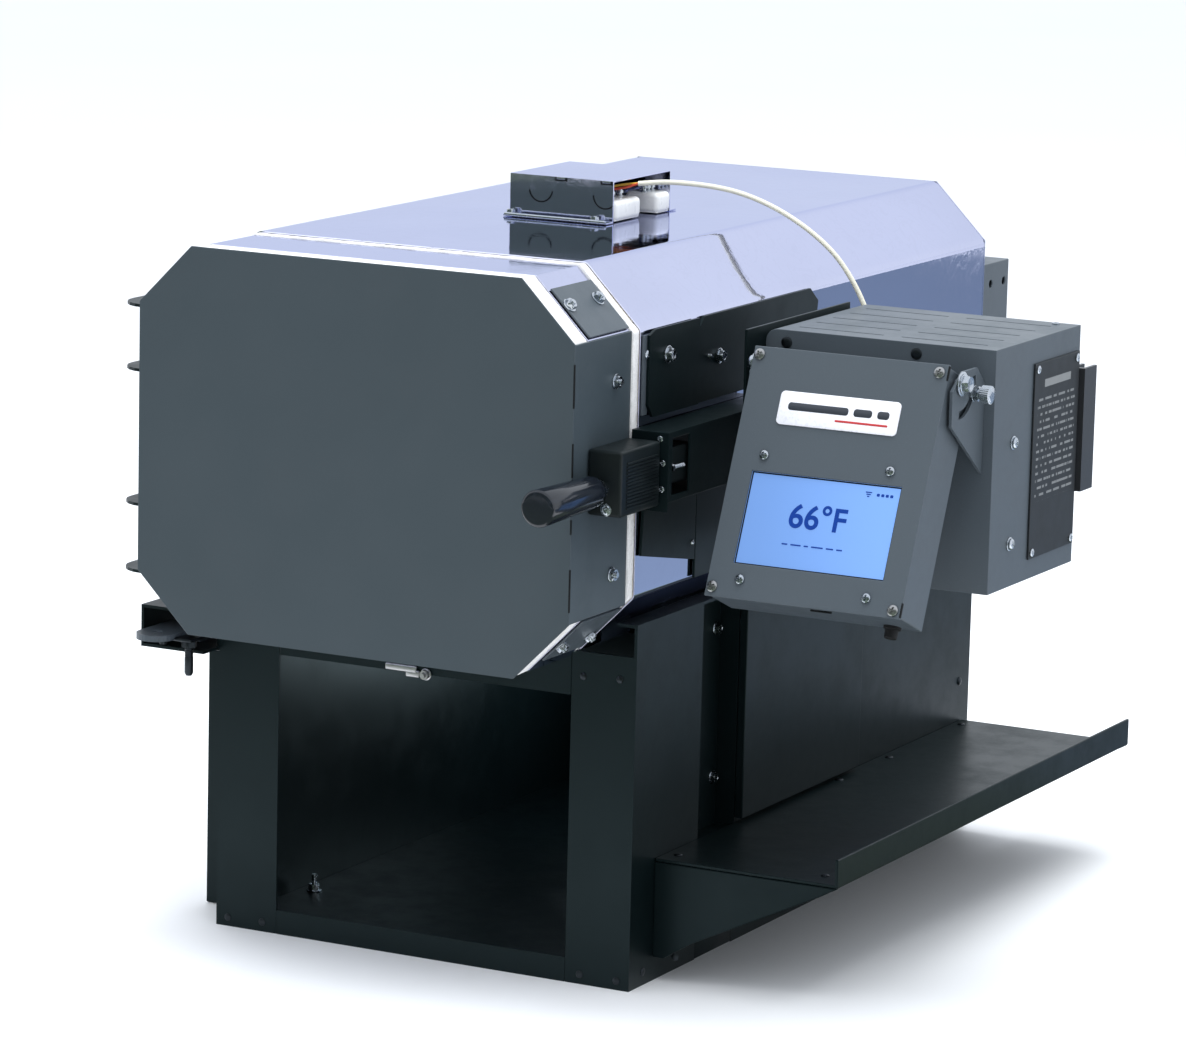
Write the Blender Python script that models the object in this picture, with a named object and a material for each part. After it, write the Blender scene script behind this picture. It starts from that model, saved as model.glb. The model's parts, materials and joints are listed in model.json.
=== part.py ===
"""Bench heat-treating kiln with a side-hung door, a side tray and a tilting display.

Lengths are in millimetres here and become metres when a mesh is made. X runs to the kiln's right,
Z up. Y is counted from the door's front face, and STAND_MIDDLE puts the origin on the floor under
the middle of the stand.
"""

import math

import bmesh
import bpy
from mathutils import Matrix, Vector

for old in list(bpy.data.objects):
    bpy.data.objects.remove(old)

# ---- driving dimensions ------------------------------------------------------------------------
CHAMBER_WIDTH, CHAMBER_HEIGHT, CHAMBER_DEPTH = 165, 108, 457
CHAMBER_Z = 343

BODY_WIDTH, BODY_BOTTOM, BODY_TOP, BODY_CHAMFER = 316, 219.5, 467, 39
BODY_FRONT, BODY_REAR = 83, 614
WRAP = 1.0

DOOR_WIDTH, DOOR_BOTTOM, DOOR_TOP, DOOR_CHAMFER = 312, 217, 466, 38
DOOR_DEPTH, DOOR_SHEET, FIBRE_PAD = 75, 1.5, 19

STAND_HALF, STAND_FRONT, STAND_REAR = 154, 97, 623
STAND_MIDDLE = (STAND_FRONT + STAND_REAR) / 2
STAND_SHEET, POST_WIDTH, POST_HEIGHT, CRADLE_HEIGHT = 2, 46, 217, 238
SILL_HEIGHT, LINTEL_BOTTOM = 16, 188
FOLD_START, FOLD_END, FOLD_DEPTH = 190, 243, 14

TRAY_REACH, TRAY_TOP, TRAY_FRONT, TRAY_REAR, TRAY_LIP = 283, 81, 129, 612, 97.5

HINGE_X, HINGE_Y, HINGE_RADIUS = -183, 67, 4
HINGE_HEIGHTS = {"upper": (374, 418), "lower": (242, 288)}

CONTROL_LEFT, CONTROL_RIGHT = 200, 358
CONTROL_FRONT, CONTROL_REAR = 174, 309
CONTROL_BOTTOM, CONTROL_TOP = 268, 422

TILT_AXIS_Y, TILT_AXIS_Z, DISPLAY_TILT = 137, 405.5, 22.8
DISPLAY_LEFT, DISPLAY_RIGHT = 216, 348.2
DISPLAY_HEIGHT, DISPLAY_DEPTH = 160.4, 38.7
PIVOT_BELOW_TOP, PIVOT_BEHIND_FACE = 7.5, 15
CLAMP_RADIUS, CLAMP_ANGLE = 19.5, -25
TILT_UP, TILT_DOWN = 60, 22

GAP = 0.3
LEAD_RADIUS = 1.7


# ---- materials ---------------------------------------------------------------------------------
def material(name, colour, roughness, metallic=0.0):
    made = bpy.data.materials.new(name)
    made.use_nodes = True
    shader = made.node_tree.nodes["Principled BSDF"]
    shader.inputs["Base Color"].default_value = (*colour, 1.0)
    shader.inputs["Roughness"].default_value = roughness
    shader.inputs["Metallic"].default_value = metallic
    made.diffuse_color = (*colour, 1.0)
    return made


SLATE = material("slate_paint", (0.075, 0.095, 0.115), 0.45)
GREY = material("grey_paint", (0.12, 0.14, 0.16), 0.5)
BLACK = material("black_paint", (0.012, 0.018, 0.024), 0.5)
MIRROR = material("mirror_steel", (0.8, 0.81, 0.83), 0.06, 1.0)
FIBRE = material("ceramic_fibre", (0.85, 0.84, 0.81), 0.95)
BRICK = material("insulating_brick", (0.78, 0.7, 0.58), 0.95)
ELEMENT = material("element_wire", (0.2, 0.17, 0.15), 0.6, 0.8)
ZINC = material("zinc_plate", (0.7, 0.7, 0.7), 0.3, 1.0)
PORCELAIN = material("porcelain", (0.85, 0.85, 0.82), 0.3)
GLOSS_BLACK = material("black_plastic", (0.01, 0.01, 0.012), 0.2)
MATT_BLACK = material("moulded_plastic", (0.015, 0.016, 0.018), 0.55)
SLEEVE = material("glass_sleeve", (0.85, 0.82, 0.72), 0.7)
GLASS = material("screen_glass", (0.3, 0.55, 0.8), 0.1)
BOARD = material("circuit_board", (0.02, 0.2, 0.08), 0.5)
ALUMINIUM = material("anodised_aluminium", (0.03, 0.03, 0.03), 0.4, 1.0)


# ---- mesh helpers ------------------------------------------------------------------------------
def place(point):
    """A point in millimetres, with Y from the door's face, as a vector in metres."""
    x, y, z = point
    return Vector((x, y - STAND_MIDDLE, z)) / 1000


def finish(name, mesh_data, finish_material):
    bmesh.ops.recalc_face_normals(mesh_data, faces=mesh_data.faces)
    mesh = bpy.data.meshes.new(name)
    mesh_data.to_mesh(mesh)
    mesh_data.free()
    mesh.materials.append(finish_material)
    mesh.shade_smooth()
    mesh.set_sharp_from_angle(angle=math.radians(35))
    made = bpy.data.objects.new(name, mesh)
    bpy.context.scene.collection.objects.link(made)
    return made


def in_space(axis, across, along):
    """The 3-D point of a 2-D outline point and a distance along the axis; the outline keeps X, Y, Z order."""
    a, b = across
    return {"X": (along, a, b), "Y": (a, along, b), "Z": (a, b, along)}[axis]


def prism(name, outline, axis, low, high, finish_material):
    """A flat outline carried from low to high along an axis."""
    solid = bmesh.new()
    ends = [[solid.verts.new(place(in_space(axis, p, at))) for p in outline] for at in (low, high)]
    for end in ends:
        solid.faces.new(end)
    for i in range(len(outline)):
        j = (i + 1) % len(outline)
        solid.faces.new((ends[0][i], ends[0][j], ends[1][j], ends[1][i]))
    return finish(name, solid, finish_material)


def ring(name, outer, inner, axis, low, high, finish_material):
    """A prism with a hole through it; both outlines have the same number of points."""
    solid = bmesh.new()
    loops = [
        [solid.verts.new(place(in_space(axis, p, at))) for p in outline]
        for outline, at in ((outer, low), (outer, high), (inner, high), (inner, low))
    ]
    for k in range(4):
        here, there = loops[k], loops[(k + 1) % 4]
        for i in range(len(outer)):
            j = (i + 1) % len(outer)
            solid.faces.new((here[i], here[j], there[j], there[i]))
    return finish(name, solid, finish_material)


def box(name, low, high, finish_material):
    (x0, y0, z0), (x1, y1, z1) = low, high
    return prism(name, rectangle(x0, y0, x1, y1), "Z", z0, z1, finish_material)


def rectangle(a0, b0, a1, b1):
    return [(a0, b0), (a1, b0), (a1, b1), (a0, b1)]


def octagon(half, bottom, top, chamfer):
    return [
        (-half + chamfer, bottom),
        (half - chamfer, bottom),
        (half, bottom + chamfer),
        (half, top - chamfer),
        (half - chamfer, top),
        (-half + chamfer, top),
        (-half, top - chamfer),
        (-half, bottom + chamfer),
    ]


def circle(centre, radius, sides=20, turn=0.0):
    a, b = centre
    steps = [turn + 2 * math.pi * (i + 0.5) / sides for i in range(sides)]
    return [(a + radius * math.cos(s), b + radius * math.sin(s)) for s in steps]


def arc(centre, radius, start, end, steps):
    """Points on an arc between two angles in degrees."""
    a, b = centre
    angles = [math.radians(start + (end - start) * i / steps) for i in range(steps + 1)]
    return [(a + radius * math.cos(s), b + radius * math.sin(s)) for s in angles]


def turned(name, profile, centre, axis, finish_material, sides=20):
    """A solid of revolution: the profile's (distance along the axis, radius) points run from one pole to the other."""
    solid = bmesh.new()
    rings = [
        [solid.verts.new(place(in_space(axis, p, along))) for p in circle(centre, radius, sides)]
        for along, radius in profile
    ]
    solid.faces.new(rings[0])
    solid.faces.new(rings[-1])
    for here, there in zip(rings, rings[1:]):
        for i in range(sides):
            j = (i + 1) % sides
            solid.faces.new((here[i], here[j], there[j], there[i]))
    return finish(name, solid, finish_material)


def combine(target, operation, helpers):
    """Adds or cuts helper shapes, which stay in the file as hidden guides."""
    for helper in helpers:
        change = target.modifiers.new(operation.lower(), "BOOLEAN")
        change.operation = operation
        change.object = helper
        helper.hide_render = True
        helper.display_type = "WIRE"
    return target


def cut(target, *helpers):
    return combine(target, "DIFFERENCE", helpers)


def add(target, *helpers):
    return combine(target, "UNION", helpers)


def mirrored(outline):
    return [(-a, b) for a, b in reversed(outline)]


# ---- stand -------------------------------------------------------------------------------------
def side_panel(name, side):
    """Front post, side wall and inward top flange bent from one sheet; the right wall has a folded-in channel."""
    outer, inner = STAND_HALF, STAND_HALF - STAND_SHEET
    post_edge = STAND_HALF - POST_WIDTH
    rear = STAND_REAR
    plan = [(post_edge, STAND_FRONT), (outer, STAND_FRONT)]
    if side > 0:
        plan += [(outer, FOLD_START), (outer - FOLD_DEPTH, FOLD_START)]
        plan += [(outer - FOLD_DEPTH, FOLD_END), (outer, FOLD_END)]
    plan += [(outer, rear), (inner, rear)]
    if side > 0:
        plan += [(inner, FOLD_END + STAND_SHEET), (inner - FOLD_DEPTH, FOLD_END + STAND_SHEET)]
        plan += [(inner - FOLD_DEPTH, FOLD_START - STAND_SHEET), (inner, FOLD_START - STAND_SHEET)]
    plan += [(inner, STAND_FRONT + STAND_SHEET), (post_edge, STAND_FRONT + STAND_SHEET)]
    if side < 0:
        plan = mirrored(plan)
    panel = prism(name, plan, "Z", 0, CRADLE_HEIGHT - 1, BLACK)
    over_post = box(
        name + "_post_top",
        (min(side * (post_edge - 2), side * (inner - 0.05)), STAND_FRONT - 2, POST_HEIGHT),
        (max(side * (post_edge - 2), side * (inner - 0.05)), STAND_FRONT + STAND_SHEET + 1, CRADLE_HEIGHT),
        BLACK,
    )
    ledge = [(139.5, STAND_FRONT), (outer, STAND_FRONT), (outer, rear), (139.5, rear)]
    if side < 0:
        ledge = mirrored(ledge)
    top_flange = prism(name + "_ledge", ledge, "Z", CRADLE_HEIGHT - 2, CRADLE_HEIGHT, BLACK)
    cut(panel, over_post)
    return add(panel, top_flange)


def stand():
    side_panel("stand_panel_right", 1)
    side_panel("stand_panel_left", -1)
    opening = STAND_HALF - POST_WIDTH - GAP
    inside = STAND_HALF - STAND_SHEET - GAP
    floor_front, floor_rear = STAND_FRONT + STAND_SHEET + GAP, STAND_REAR - STAND_SHEET - GAP
    notch, clear = inside - FOLD_DEPTH, STAND_SHEET + GAP
    floor_plan = [(-inside, floor_front), (inside, floor_front), (inside, FOLD_START - clear)]
    floor_plan += [(notch, FOLD_START - clear), (notch, FOLD_END + clear), (inside, FOLD_END + clear)]
    floor_plan += [(inside, floor_rear), (-inside, floor_rear)]
    floor = prism("stand_floor", floor_plan, "Z", 0, STAND_SHEET, BLACK)
    sill = box("sill", (-opening, STAND_FRONT, 0), (opening, floor_front + 1, SILL_HEIGHT), BLACK)
    add(floor, sill)
    lintel = box(
        "stand_lintel",
        (-opening, STAND_FRONT, LINTEL_BOTTOM),
        (opening, STAND_FRONT + STAND_SHEET, POST_HEIGHT),
        BLACK,
    )
    lip = box("lintel_lip", (-opening, STAND_FRONT, LINTEL_BOTTOM), (opening, 120, LINTEL_BOTTOM + 2), BLACK)
    add(lintel, lip)
    box("stand_rear_panel", (-inside, STAND_REAR - STAND_SHEET, 0), (inside, STAND_REAR, POST_HEIGHT), BLACK)
    for name, middle in (("cradle_rail_front", 170), ("cradle_rail_rear", 560)):
        channel = [(middle - 15, 199), (middle + 15, 199), (middle + 15, 219.2), (middle - 15, 219.2)]
        hollow = [(middle - 13, 201), (middle + 13, 201), (middle + 13, 217.2), (middle - 13, 217.2)]
        ring(name, channel, hollow, "X", -134, 134, BLACK)
    box("side_access_cover", (STAND_HALF + GAP, 243, 84), (160, 425, 236), BLACK)
    left_channel()
    side_tray()


def left_channel():
    """An upright channel on the left wall, open to the rear."""
    near, far = -STAND_HALF - GAP, -189
    front, back = 141, 191
    plan = [(near, front), (near, front + 2), (far + 2, front + 2), (far + 2, back), (far, back), (far, front)]
    upright = prism("left_side_channel", plan, "Z", 0.5, 174, BLACK)
    foot = box("left_channel_foot", (near - 2, front, 0.5), (near, back, 174), BLACK)
    add(upright, foot)


def side_tray():
    inner = STAND_HALF + GAP
    section = [
        (inner, TRAY_TOP - 2),
        (TRAY_REACH, TRAY_TOP - 2),
        (TRAY_REACH, TRAY_LIP),
        (TRAY_REACH - 2, TRAY_LIP),
        (TRAY_REACH - 2, TRAY_TOP),
        (inner, TRAY_TOP),
    ]
    prism("side_tray", section, "Y", TRAY_FRONT, TRAY_REAR, BLACK)
    under = TRAY_TOP - 2 - GAP
    web = [(inner, 16), (inner + 8, 16), (181, 28), (271, 72), (TRAY_REACH, under), (inner, under)]
    for name, face, turn in (("tray_bracket_front", TRAY_FRONT, 1), ("tray_bracket_rear", TRAY_REAR, -1)):
        span = sorted((face, face + 2 * turn))
        reach = sorted((face, face + 24 * turn))
        bracket = prism(name, web, "Y", span[0], span[1], BLACK)
        flange = box(name + "_flange", (inner, reach[0], 16), (inner + 2, reach[1], under), BLACK)
        ledge = box(name + "_ledge", (inner, reach[0], under - 2), (270, reach[1], under), BLACK)
        add(bracket, flange, ledge)


# ---- body --------------------------------------------------------------------------------------
def body():
    half = BODY_WIDTH / 2
    outside = octagon(half, BODY_BOTTOM, BODY_TOP, BODY_CHAMFER)
    slim = WRAP * math.tan(math.radians(22.5))
    inside = octagon(half - WRAP, BODY_BOTTOM + WRAP, BODY_TOP - WRAP, BODY_CHAMFER - slim)
    wrap = ring("body_wrap", outside, inside, "Y", BODY_FRONT, BODY_REAR - 1.5 - GAP, MIRROR)
    back = prism("body_back_plate", outside, "Y", BODY_REAR - 1.5, BODY_REAR, MIRROR)
    inset = WRAP + GAP
    core = octagon(half - inset, BODY_BOTTOM + inset, BODY_TOP - inset, BODY_CHAMFER - inset * slim / WRAP)
    split, end = 312, BODY_FRONT + CHAMBER_DEPTH
    front = prism("firebrick_front", core, "Y", BODY_FRONT, split, BRICK)
    rear = prism("firebrick_rear", core, "Y", split + GAP, end, BRICK)
    end_wall = prism("firebrick_end", core, "Y", end + GAP, BODY_REAR - 1.5 - 2 * GAP, BRICK)
    half_w, half_h = CHAMBER_WIDTH / 2, CHAMBER_HEIGHT / 2
    low, high = CHAMBER_Z - half_h, CHAMBER_Z + half_h
    hole = box("chamber_space", (-half_w, BODY_FRONT - 5, low), (half_w, end + 0.1, high), BRICK)
    cut(front, hole)
    cut(rear, hole)
    for side in (-1, 1):
        elements(side, front, rear, end_wall, back)
    probe_hole = prism("probe_hole", circle((PROBE_X, PROBE_Y), 4.6), "Z", high - 5, BODY_TOP + 5, BRICK)
    cut(front, probe_hole)
    cut(wrap, probe_hole)
    gasket_hole = octagon(half_w + 6, low - 6, high + 6, 1)
    gasket_edge = octagon(half - 0.6, BODY_BOTTOM + 0.6, BODY_TOP - 0.6, BODY_CHAMFER)
    ring("front_gasket", gasket_edge, gasket_hole, "Y", DOOR_DEPTH + GAP, BODY_FRONT - GAP, FIBRE)
    rear_cover()


ROWS = [302, 329, 357, 384]
PROBE_X, PROBE_Y = 6, 284


def elements(side, front, rear, end_wall, back):
    """One looped element in grooves in a side wall, with two leads out through the back."""
    wall, radius = CHAMBER_WIDTH / 2, 3.6
    x = side * (wall + 6)
    near, far, through = BODY_FRONT + 22, BODY_FRONT + CHAMBER_DEPTH - 22, BODY_REAR + 12
    low_x, high_x = sorted((side * (wall - 3), side * (wall + 12)))
    tag = "right" if side > 0 else "left"
    for row, z in enumerate(ROWS):
        groove = box(f"groove_{tag}_{row}", (low_x, near - 7, z - 6), (high_x, far + 7, z + 6), BRICK)
        cut(front, groove)
        cut(rear, groove)
    for name, low, high, at, brick in (
        ("first", ROWS[0], ROWS[1], near, front),
        ("second", ROWS[1], ROWS[2], far, rear),
        ("third", ROWS[2], ROWS[3], near, front),
    ):
        turn = box(f"turn_{tag}_{name}", (low_x, at - 7, low), (high_x, at + 7, high), BRICK)
        cut(brick, turn)
    for row in (0, 3):
        exit_hole = prism(f"lead_hole_{tag}_{row}", circle((x, ROWS[row]), 5.2, 12), "Y", far - 2, through, BRICK)
        cut(rear, exit_hole)
        cut(end_wall, exit_hole)
        cut(back, exit_hole)
    route = [(x, through, ROWS[0]), (x, near + 4, ROWS[0])]
    route += bend(x, near + 4, ROWS[0], ROWS[1], -1)
    route += bend(x, far - 4, ROWS[1], ROWS[2], 1)
    route += bend(x, near + 4, ROWS[2], ROWS[3], -1)
    route += [(x, through, ROWS[3])]
    tube(f"heating_element_{tag}", route, radius, 2, ELEMENT)


def bend(x, y, low, high, direction):
    """A half-oval from one groove to the next."""
    middle, reach = (low + high) / 2, (high - low) / 2
    steps = [math.pi * i / 6 for i in range(7)]
    return [(x, y + direction * 4 * math.sin(s), middle - reach * math.cos(s)) for s in steps]


def tube(name, points, radius, resolution, finish_material):
    curve = bpy.data.curves.new(name, "CURVE")
    curve.dimensions = "3D"
    curve.bevel_depth = radius / 1000
    curve.bevel_resolution = resolution
    curve.use_fill_caps = True
    curve.materials.append(finish_material)
    spline = curve.splines.new("POLY")
    spline.points.add(len(points) - 1)
    for target, point in zip(spline.points, points):
        target.co = (*place(point), 1)
    made = bpy.data.objects.new(name, curve)
    bpy.context.scene.collection.objects.link(made)
    return made


def rear_cover():
    """A shallow sheet box over the element leads, open towards the body, with vent slots."""
    low, high, back = 262, 410, 660
    shell = box("rear_cover", (-157, BODY_REAR + GAP, low), (157, back, high), GREY)
    hollow = box("rear_hollow", (-155.5, BODY_REAR - 1, low + 1.5), (155.5, back - 1.5, high - 1.5), GREY)
    cut(shell, hollow)
    for i, x in enumerate((-90, -30, 30, 90)):
        for j, z in enumerate((300, 336, 372)):
            slot = box(f"vent_{i}_{j}", (x - 22, back - 4, z - 2), (x + 22, back + 2, z + 2), GREY)
            cut(shell, slot)
    for i, y in enumerate((629, 652)):
        cut(shell, prism(f"side_hole_{i}", circle((y, 395), 3, 12), "X", 140, 170, GREY))


# ---- top terminal box --------------------------------------------------------------------------
BOX_LEFT, BOX_RIGHT, BOX_FRONT, BOX_REAR, BOX_TOP = -31, 46, 257, 340, 495


def top_box():
    """A mirror-finish box, open to the right, over the sensor's terminal block."""
    base = BODY_TOP + GAP
    shell = box("terminal_box", (BOX_LEFT, BOX_FRONT, base), (BOX_RIGHT, BOX_REAR, BOX_TOP), MIRROR)
    hollow = box(
        "box_hollow", (BOX_LEFT + 1, BOX_FRONT + 1, base - 1), (BOX_RIGHT + 1, BOX_REAR - 1, BOX_TOP - 1), MIRROR
    )
    foot_front = box("foot_front", (BOX_LEFT, BOX_FRONT - 9, base), (BOX_RIGHT, BOX_FRONT + 0.5, base + 1), MIRROR)
    foot_rear = box("foot_rear", (BOX_LEFT, BOX_REAR - 0.5, base), (BOX_RIGHT, BOX_REAR + 9, base + 1), MIRROR)
    cut(shell, hollow)
    add(shell, foot_front, foot_rear)
    block = box("terminal_block_front", (22, 262, base + GAP), (44, 299, base + 14), PORCELAIN)
    low_step = box("block_step", (20, 266, base + GAP), (45.5, 295, base + 6), PORCELAIN)
    add(block, low_step)
    probe()
    lead()


def probe():
    """The sensor: a ceramic sheath from the chamber's roof up to a head inside the box."""
    roof = CHAMBER_Z + CHAMBER_HEIGHT / 2
    head = BODY_TOP + 10
    profile = [(roof - 34, 1.6), (roof - 32, 3.2), (head, 3.2), (head, 6.5), (head + 8, 6.5)]
    turned("thermocouple_probe", profile, (PROBE_X, PROBE_Y), "Z", PORCELAIN, 16)


LEAD_ROUTE = [
    (21, 281, 486.2),
    (32, 283.4, 487.6),
    (49, 287, 491),
    (70, 292, 493),
    (97, 298, 491.8),
    (119, 304, 487.4),
    (141, 309.5, 478.6),
    (162, 314, 466),
    (179, 317.6, 451.4),
    (191.5, 320, 434.6),
    (201, 321.4, 416.4),
    (208, 321.2, 398),
    (213.6, 319, 383),
    (219, 314.6, 373.2),
    (221, 309.6, 371.5),
]


def smooth_route(points, spacing):
    """Points at an even spacing on the centripetal curve through the given ones."""
    ends = [2 * Vector(points[0]) - Vector(points[1])]
    tail = [2 * Vector(points[-1]) - Vector(points[-2])]
    knots = ends + [Vector(p) for p in points] + tail
    dense = []
    for i in range(1, len(knots) - 2):
        a, b, c, d = knots[i - 1 : i + 3]
        for k in range(24):
            t = k / 24
            dense.append(
                0.5 * (2 * b + (c - a) * t + (2 * a - 5 * b + 4 * c - d) * t * t + (3 * b - a - 3 * c + d) * t**3)
            )
    dense.append(knots[-2])
    even, walked = [dense[0]], 0.0
    for here, there in zip(dense, dense[1:]):
        walked += (there - here).length
        if walked >= spacing:
            even.append(there)
            walked = 0.0
    if (even[-1] - dense[-1]).length < spacing / 2:
        even.pop()
    return even + [dense[-1]]


def lead():
    """The sensor's sleeved lead, from the terminals in an arch to the back of the control case."""
    tube("thermocouple_lead", smooth_route(LEAD_ROUTE, 5.0), LEAD_RADIUS, 2, SLEEVE)


# ---- door --------------------------------------------------------------------------------------
def door():
    half = DOOR_WIDTH / 2
    face = octagon(half, DOOR_BOTTOM, DOOR_TOP, DOOR_CHAMFER)
    plate = prism("door_plate", face, "Y", 0, DOOR_SHEET, SLATE)
    flange_low, flange_high = DOOR_BOTTOM + DOOR_CHAMFER, DOOR_TOP - DOOR_CHAMFER
    for side, tag in ((-1, "left"), (1, "right")):
        edge = sorted((side * half, side * (half - DOOR_SHEET)))
        flange = box(f"flange_{tag}", (edge[0], 0, flange_low), (edge[1], DOOR_DEPTH, flange_high), SLATE)
        add(plate, flange)
    inset = DOOR_SHEET + GAP
    bend_inset = math.tan(math.radians(22.5))
    pad = octagon(half - inset, DOOR_BOTTOM + 0.4, DOOR_TOP - 0.4, DOOR_CHAMFER - inset * bend_inset)
    pad_front, pad_rear = DOOR_SHEET + GAP, DOOR_SHEET + GAP + FIBRE_PAD
    prism("door_fibre_pad", pad, "Y", pad_front, pad_rear, FIBRE)
    band_front, band_rear = pad_rear + GAP, DOOR_DEPTH
    outer = octagon(half - inset, DOOR_BOTTOM + 0.8, DOOR_TOP - 0.8, DOOR_CHAMFER - inset * bend_inset)
    more = inset + WRAP
    inner = octagon(half - more, DOOR_BOTTOM + 1.8, DOOR_TOP - 1.8, DOOR_CHAMFER - more * bend_inset)
    ring("door_band", outer, inner, "Y", band_front, band_rear, MIRROR)
    most = more + GAP
    core = octagon(half - most, DOOR_BOTTOM + 2.1, DOOR_TOP - 2.1, DOOR_CHAMFER - most * bend_inset)
    brick = prism("door_brick", core, "Y", band_front, DOOR_DEPTH, BRICK)
    plug = box(
        "door_plug",
        (-CHAMBER_WIDTH / 2 + 3.5, DOOR_DEPTH - 5, CHAMBER_Z - CHAMBER_HEIGHT / 2 + 3),
        (CHAMBER_WIDTH / 2 - 3.5, BODY_FRONT + 4, CHAMBER_Z + CHAMBER_HEIGHT / 2 - 3),
        BRICK,
    )
    add(brick, plug)
    corner_tabs(half)
    latch_block(half)
    for tag in HINGE_HEIGHTS:
        hinge_leaf(tag, half)


def corner_tabs(half):
    """Grey sheet tabs over the chamfers at the door's latch side."""
    lean = math.sqrt(0.5)
    start, end, lift, thick = 12, 40, -0.9, 1.2
    for tag, z, up in (("upper", DOOR_TOP, 1), ("lower", DOOR_BOTTOM, -1)):
        corner = (half - DOOR_CHAMFER, z)
        outline = []
        for along, out in ((start, lift), (end + 11, lift), (end + 11, lift + thick), (start, lift + thick)):
            outline.append((corner[0] + lean * (along + out), corner[1] + up * lean * (out - along)))
        prism(f"corner_tab_{tag}", outline, "Y", 22.5, DOOR_DEPTH - 0.5, GREY)


def latch_block(half):
    """The moulded latch housing on the right flange and its handle."""
    left, right, front, rear, low, high = half + GAP, 181, 19, 71.5, 321, 362
    profile = [(left, low), (right, low), (right, high), (left, high)]
    housing = prism("latch_housing", profile, "Y", front, rear, MATT_BLACK)
    bevel = housing.modifiers.new("edges", "BEVEL")
    bevel.width = 0.0012
    bevel.segments = 1
    handle = [(-66, 10.0), (-64.5, 11.6), (10, 10.4), (12, 9.0), (15, 6.2), (front - GAP, 6.2)]
    turned("door_handle", handle, (167.5, 338.5), "Y", GLOSS_BLACK, 24)


def hinge_leaf(tag, half):
    """A plate on the door's left flange, rolled round the hinge pin."""
    low, high = HINGE_HEIGHTS[tag][0] + 2 + GAP + 1, HINGE_HEIGHTS[tag][1] - 2 - GAP - 1
    eye = ring(
        f"hinge_leaf_{tag}",
        circle((HINGE_X, HINGE_Y), HINGE_RADIUS + 4, 20),
        circle((HINGE_X, HINGE_Y), HINGE_RADIUS + GAP, 20),
        "Z",
        low,
        high,
        SLATE,
    )
    arm = box(f"leaf_arm_{tag}", (HINGE_X + 6, 59.5, low), (-half - 2.5, 62.5, high), SLATE)
    foot = box(f"leaf_foot_{tag}", (-half - 3, 28, low), (-half - GAP, 68, high), SLATE)
    return add(eye, arm, foot)


# ---- hinge side of the body --------------------------------------------------------------------
def hinges():
    wall = -BODY_WIDTH / 2 - GAP
    for tag, (low, high) in HINGE_HEIGHTS.items():
        reach = 21
        plan = arc((HINGE_X, HINGE_Y), reach, 180, 360, 10)[:-2]
        plan += [(wall - 5, HINGE_Y - 3), (wall, 90), (wall, 150), (HINGE_X - reach, 150)]
        lower = prism(f"hinge_bracket_{tag}", plan, "Z", low, low + 2, BLACK)
        upper = prism(f"bracket_top_{tag}", plan, "Z", high - 2, high, BLACK)
        web = box(f"bracket_web_{tag}", (wall - 2, 92, low), (wall, 150, high), BLACK)
        add(lower, upper, web)
        pin_hole = prism(
            f"pin_hole_{tag}", circle((HINGE_X, HINGE_Y), HINGE_RADIUS + GAP), "Z", low - 5, high + 5, BLACK
        )
        cut(lower, pin_hole)
        profile = [(low - 4, 3.0), (low - 3, HINGE_RADIUS), (high + GAP, HINGE_RADIUS), (high + GAP, 6.5)]
        profile += [(high + 3, 6.5), (high + 4, 5.0)]
        turned(f"hinge_pin_{tag}", profile, (HINGE_X, HINGE_Y), "Z", ZINC)
    accessory_pivot()


def accessory_pivot():
    """A small channel under the hinge side with a round-ended plate, for a part that isn't fitted."""
    low, high, outer = 186, 214, -202.5
    wall = -STAND_HALF - GAP
    section = [
        (wall, low),
        (wall, low + 2),
        (outer + 2, low + 2),
        (outer + 2, high - 2),
        (wall - 2, high - 2),
        (wall - 2, high),
        (outer, high),
        (outer, low),
    ]
    bracket = prism("pivot_bracket", section, "Y", 78, 139, BLACK)
    ear = box("bracket_ear", (wall - 2, 98, low), (wall, 139, high), BLACK)
    add(bracket, ear)
    thickness, level = 4, 196
    plan = arc((HINGE_X + 1, HINGE_Y - 3), 13, 180, 360, 14) + [(HINGE_X + 14, 128), (HINGE_X - 12, 128)]
    plate = prism("pivot_plate", plan, "Z", level, level + thickness, GREY)
    hole = prism("plate_hole", circle((HINGE_X, HINGE_Y), 3.2, 16), "Z", level - 3, level + thickness + 3, GREY)
    cut(plate, hole)
    shoe = box("plate_shoe", (HINGE_X - 10, 100, low + 2 + GAP), (HINGE_X + 12, 126, level + 1), GREY)
    add(plate, shoe)


# ---- latch side of the body --------------------------------------------------------------------
def latch_side():
    wall = BODY_WIDTH / 2 + GAP
    gusset = [(84.5, 374), (90, 374), (107, 424), (84.5, 424)]
    prism("corner_gusset", gusset, "X", wall, wall + 1.5, GREY)
    plate_x = wall + 1.5 + GAP
    backing = [(94, 372), (157, 372), (157, 427), (96, 427), (88, 424), (88, 380)]
    prism("latch_side_plate", backing, "X", plate_x, plate_x + 2, BLACK)
    latch_receiver(wall)


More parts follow.
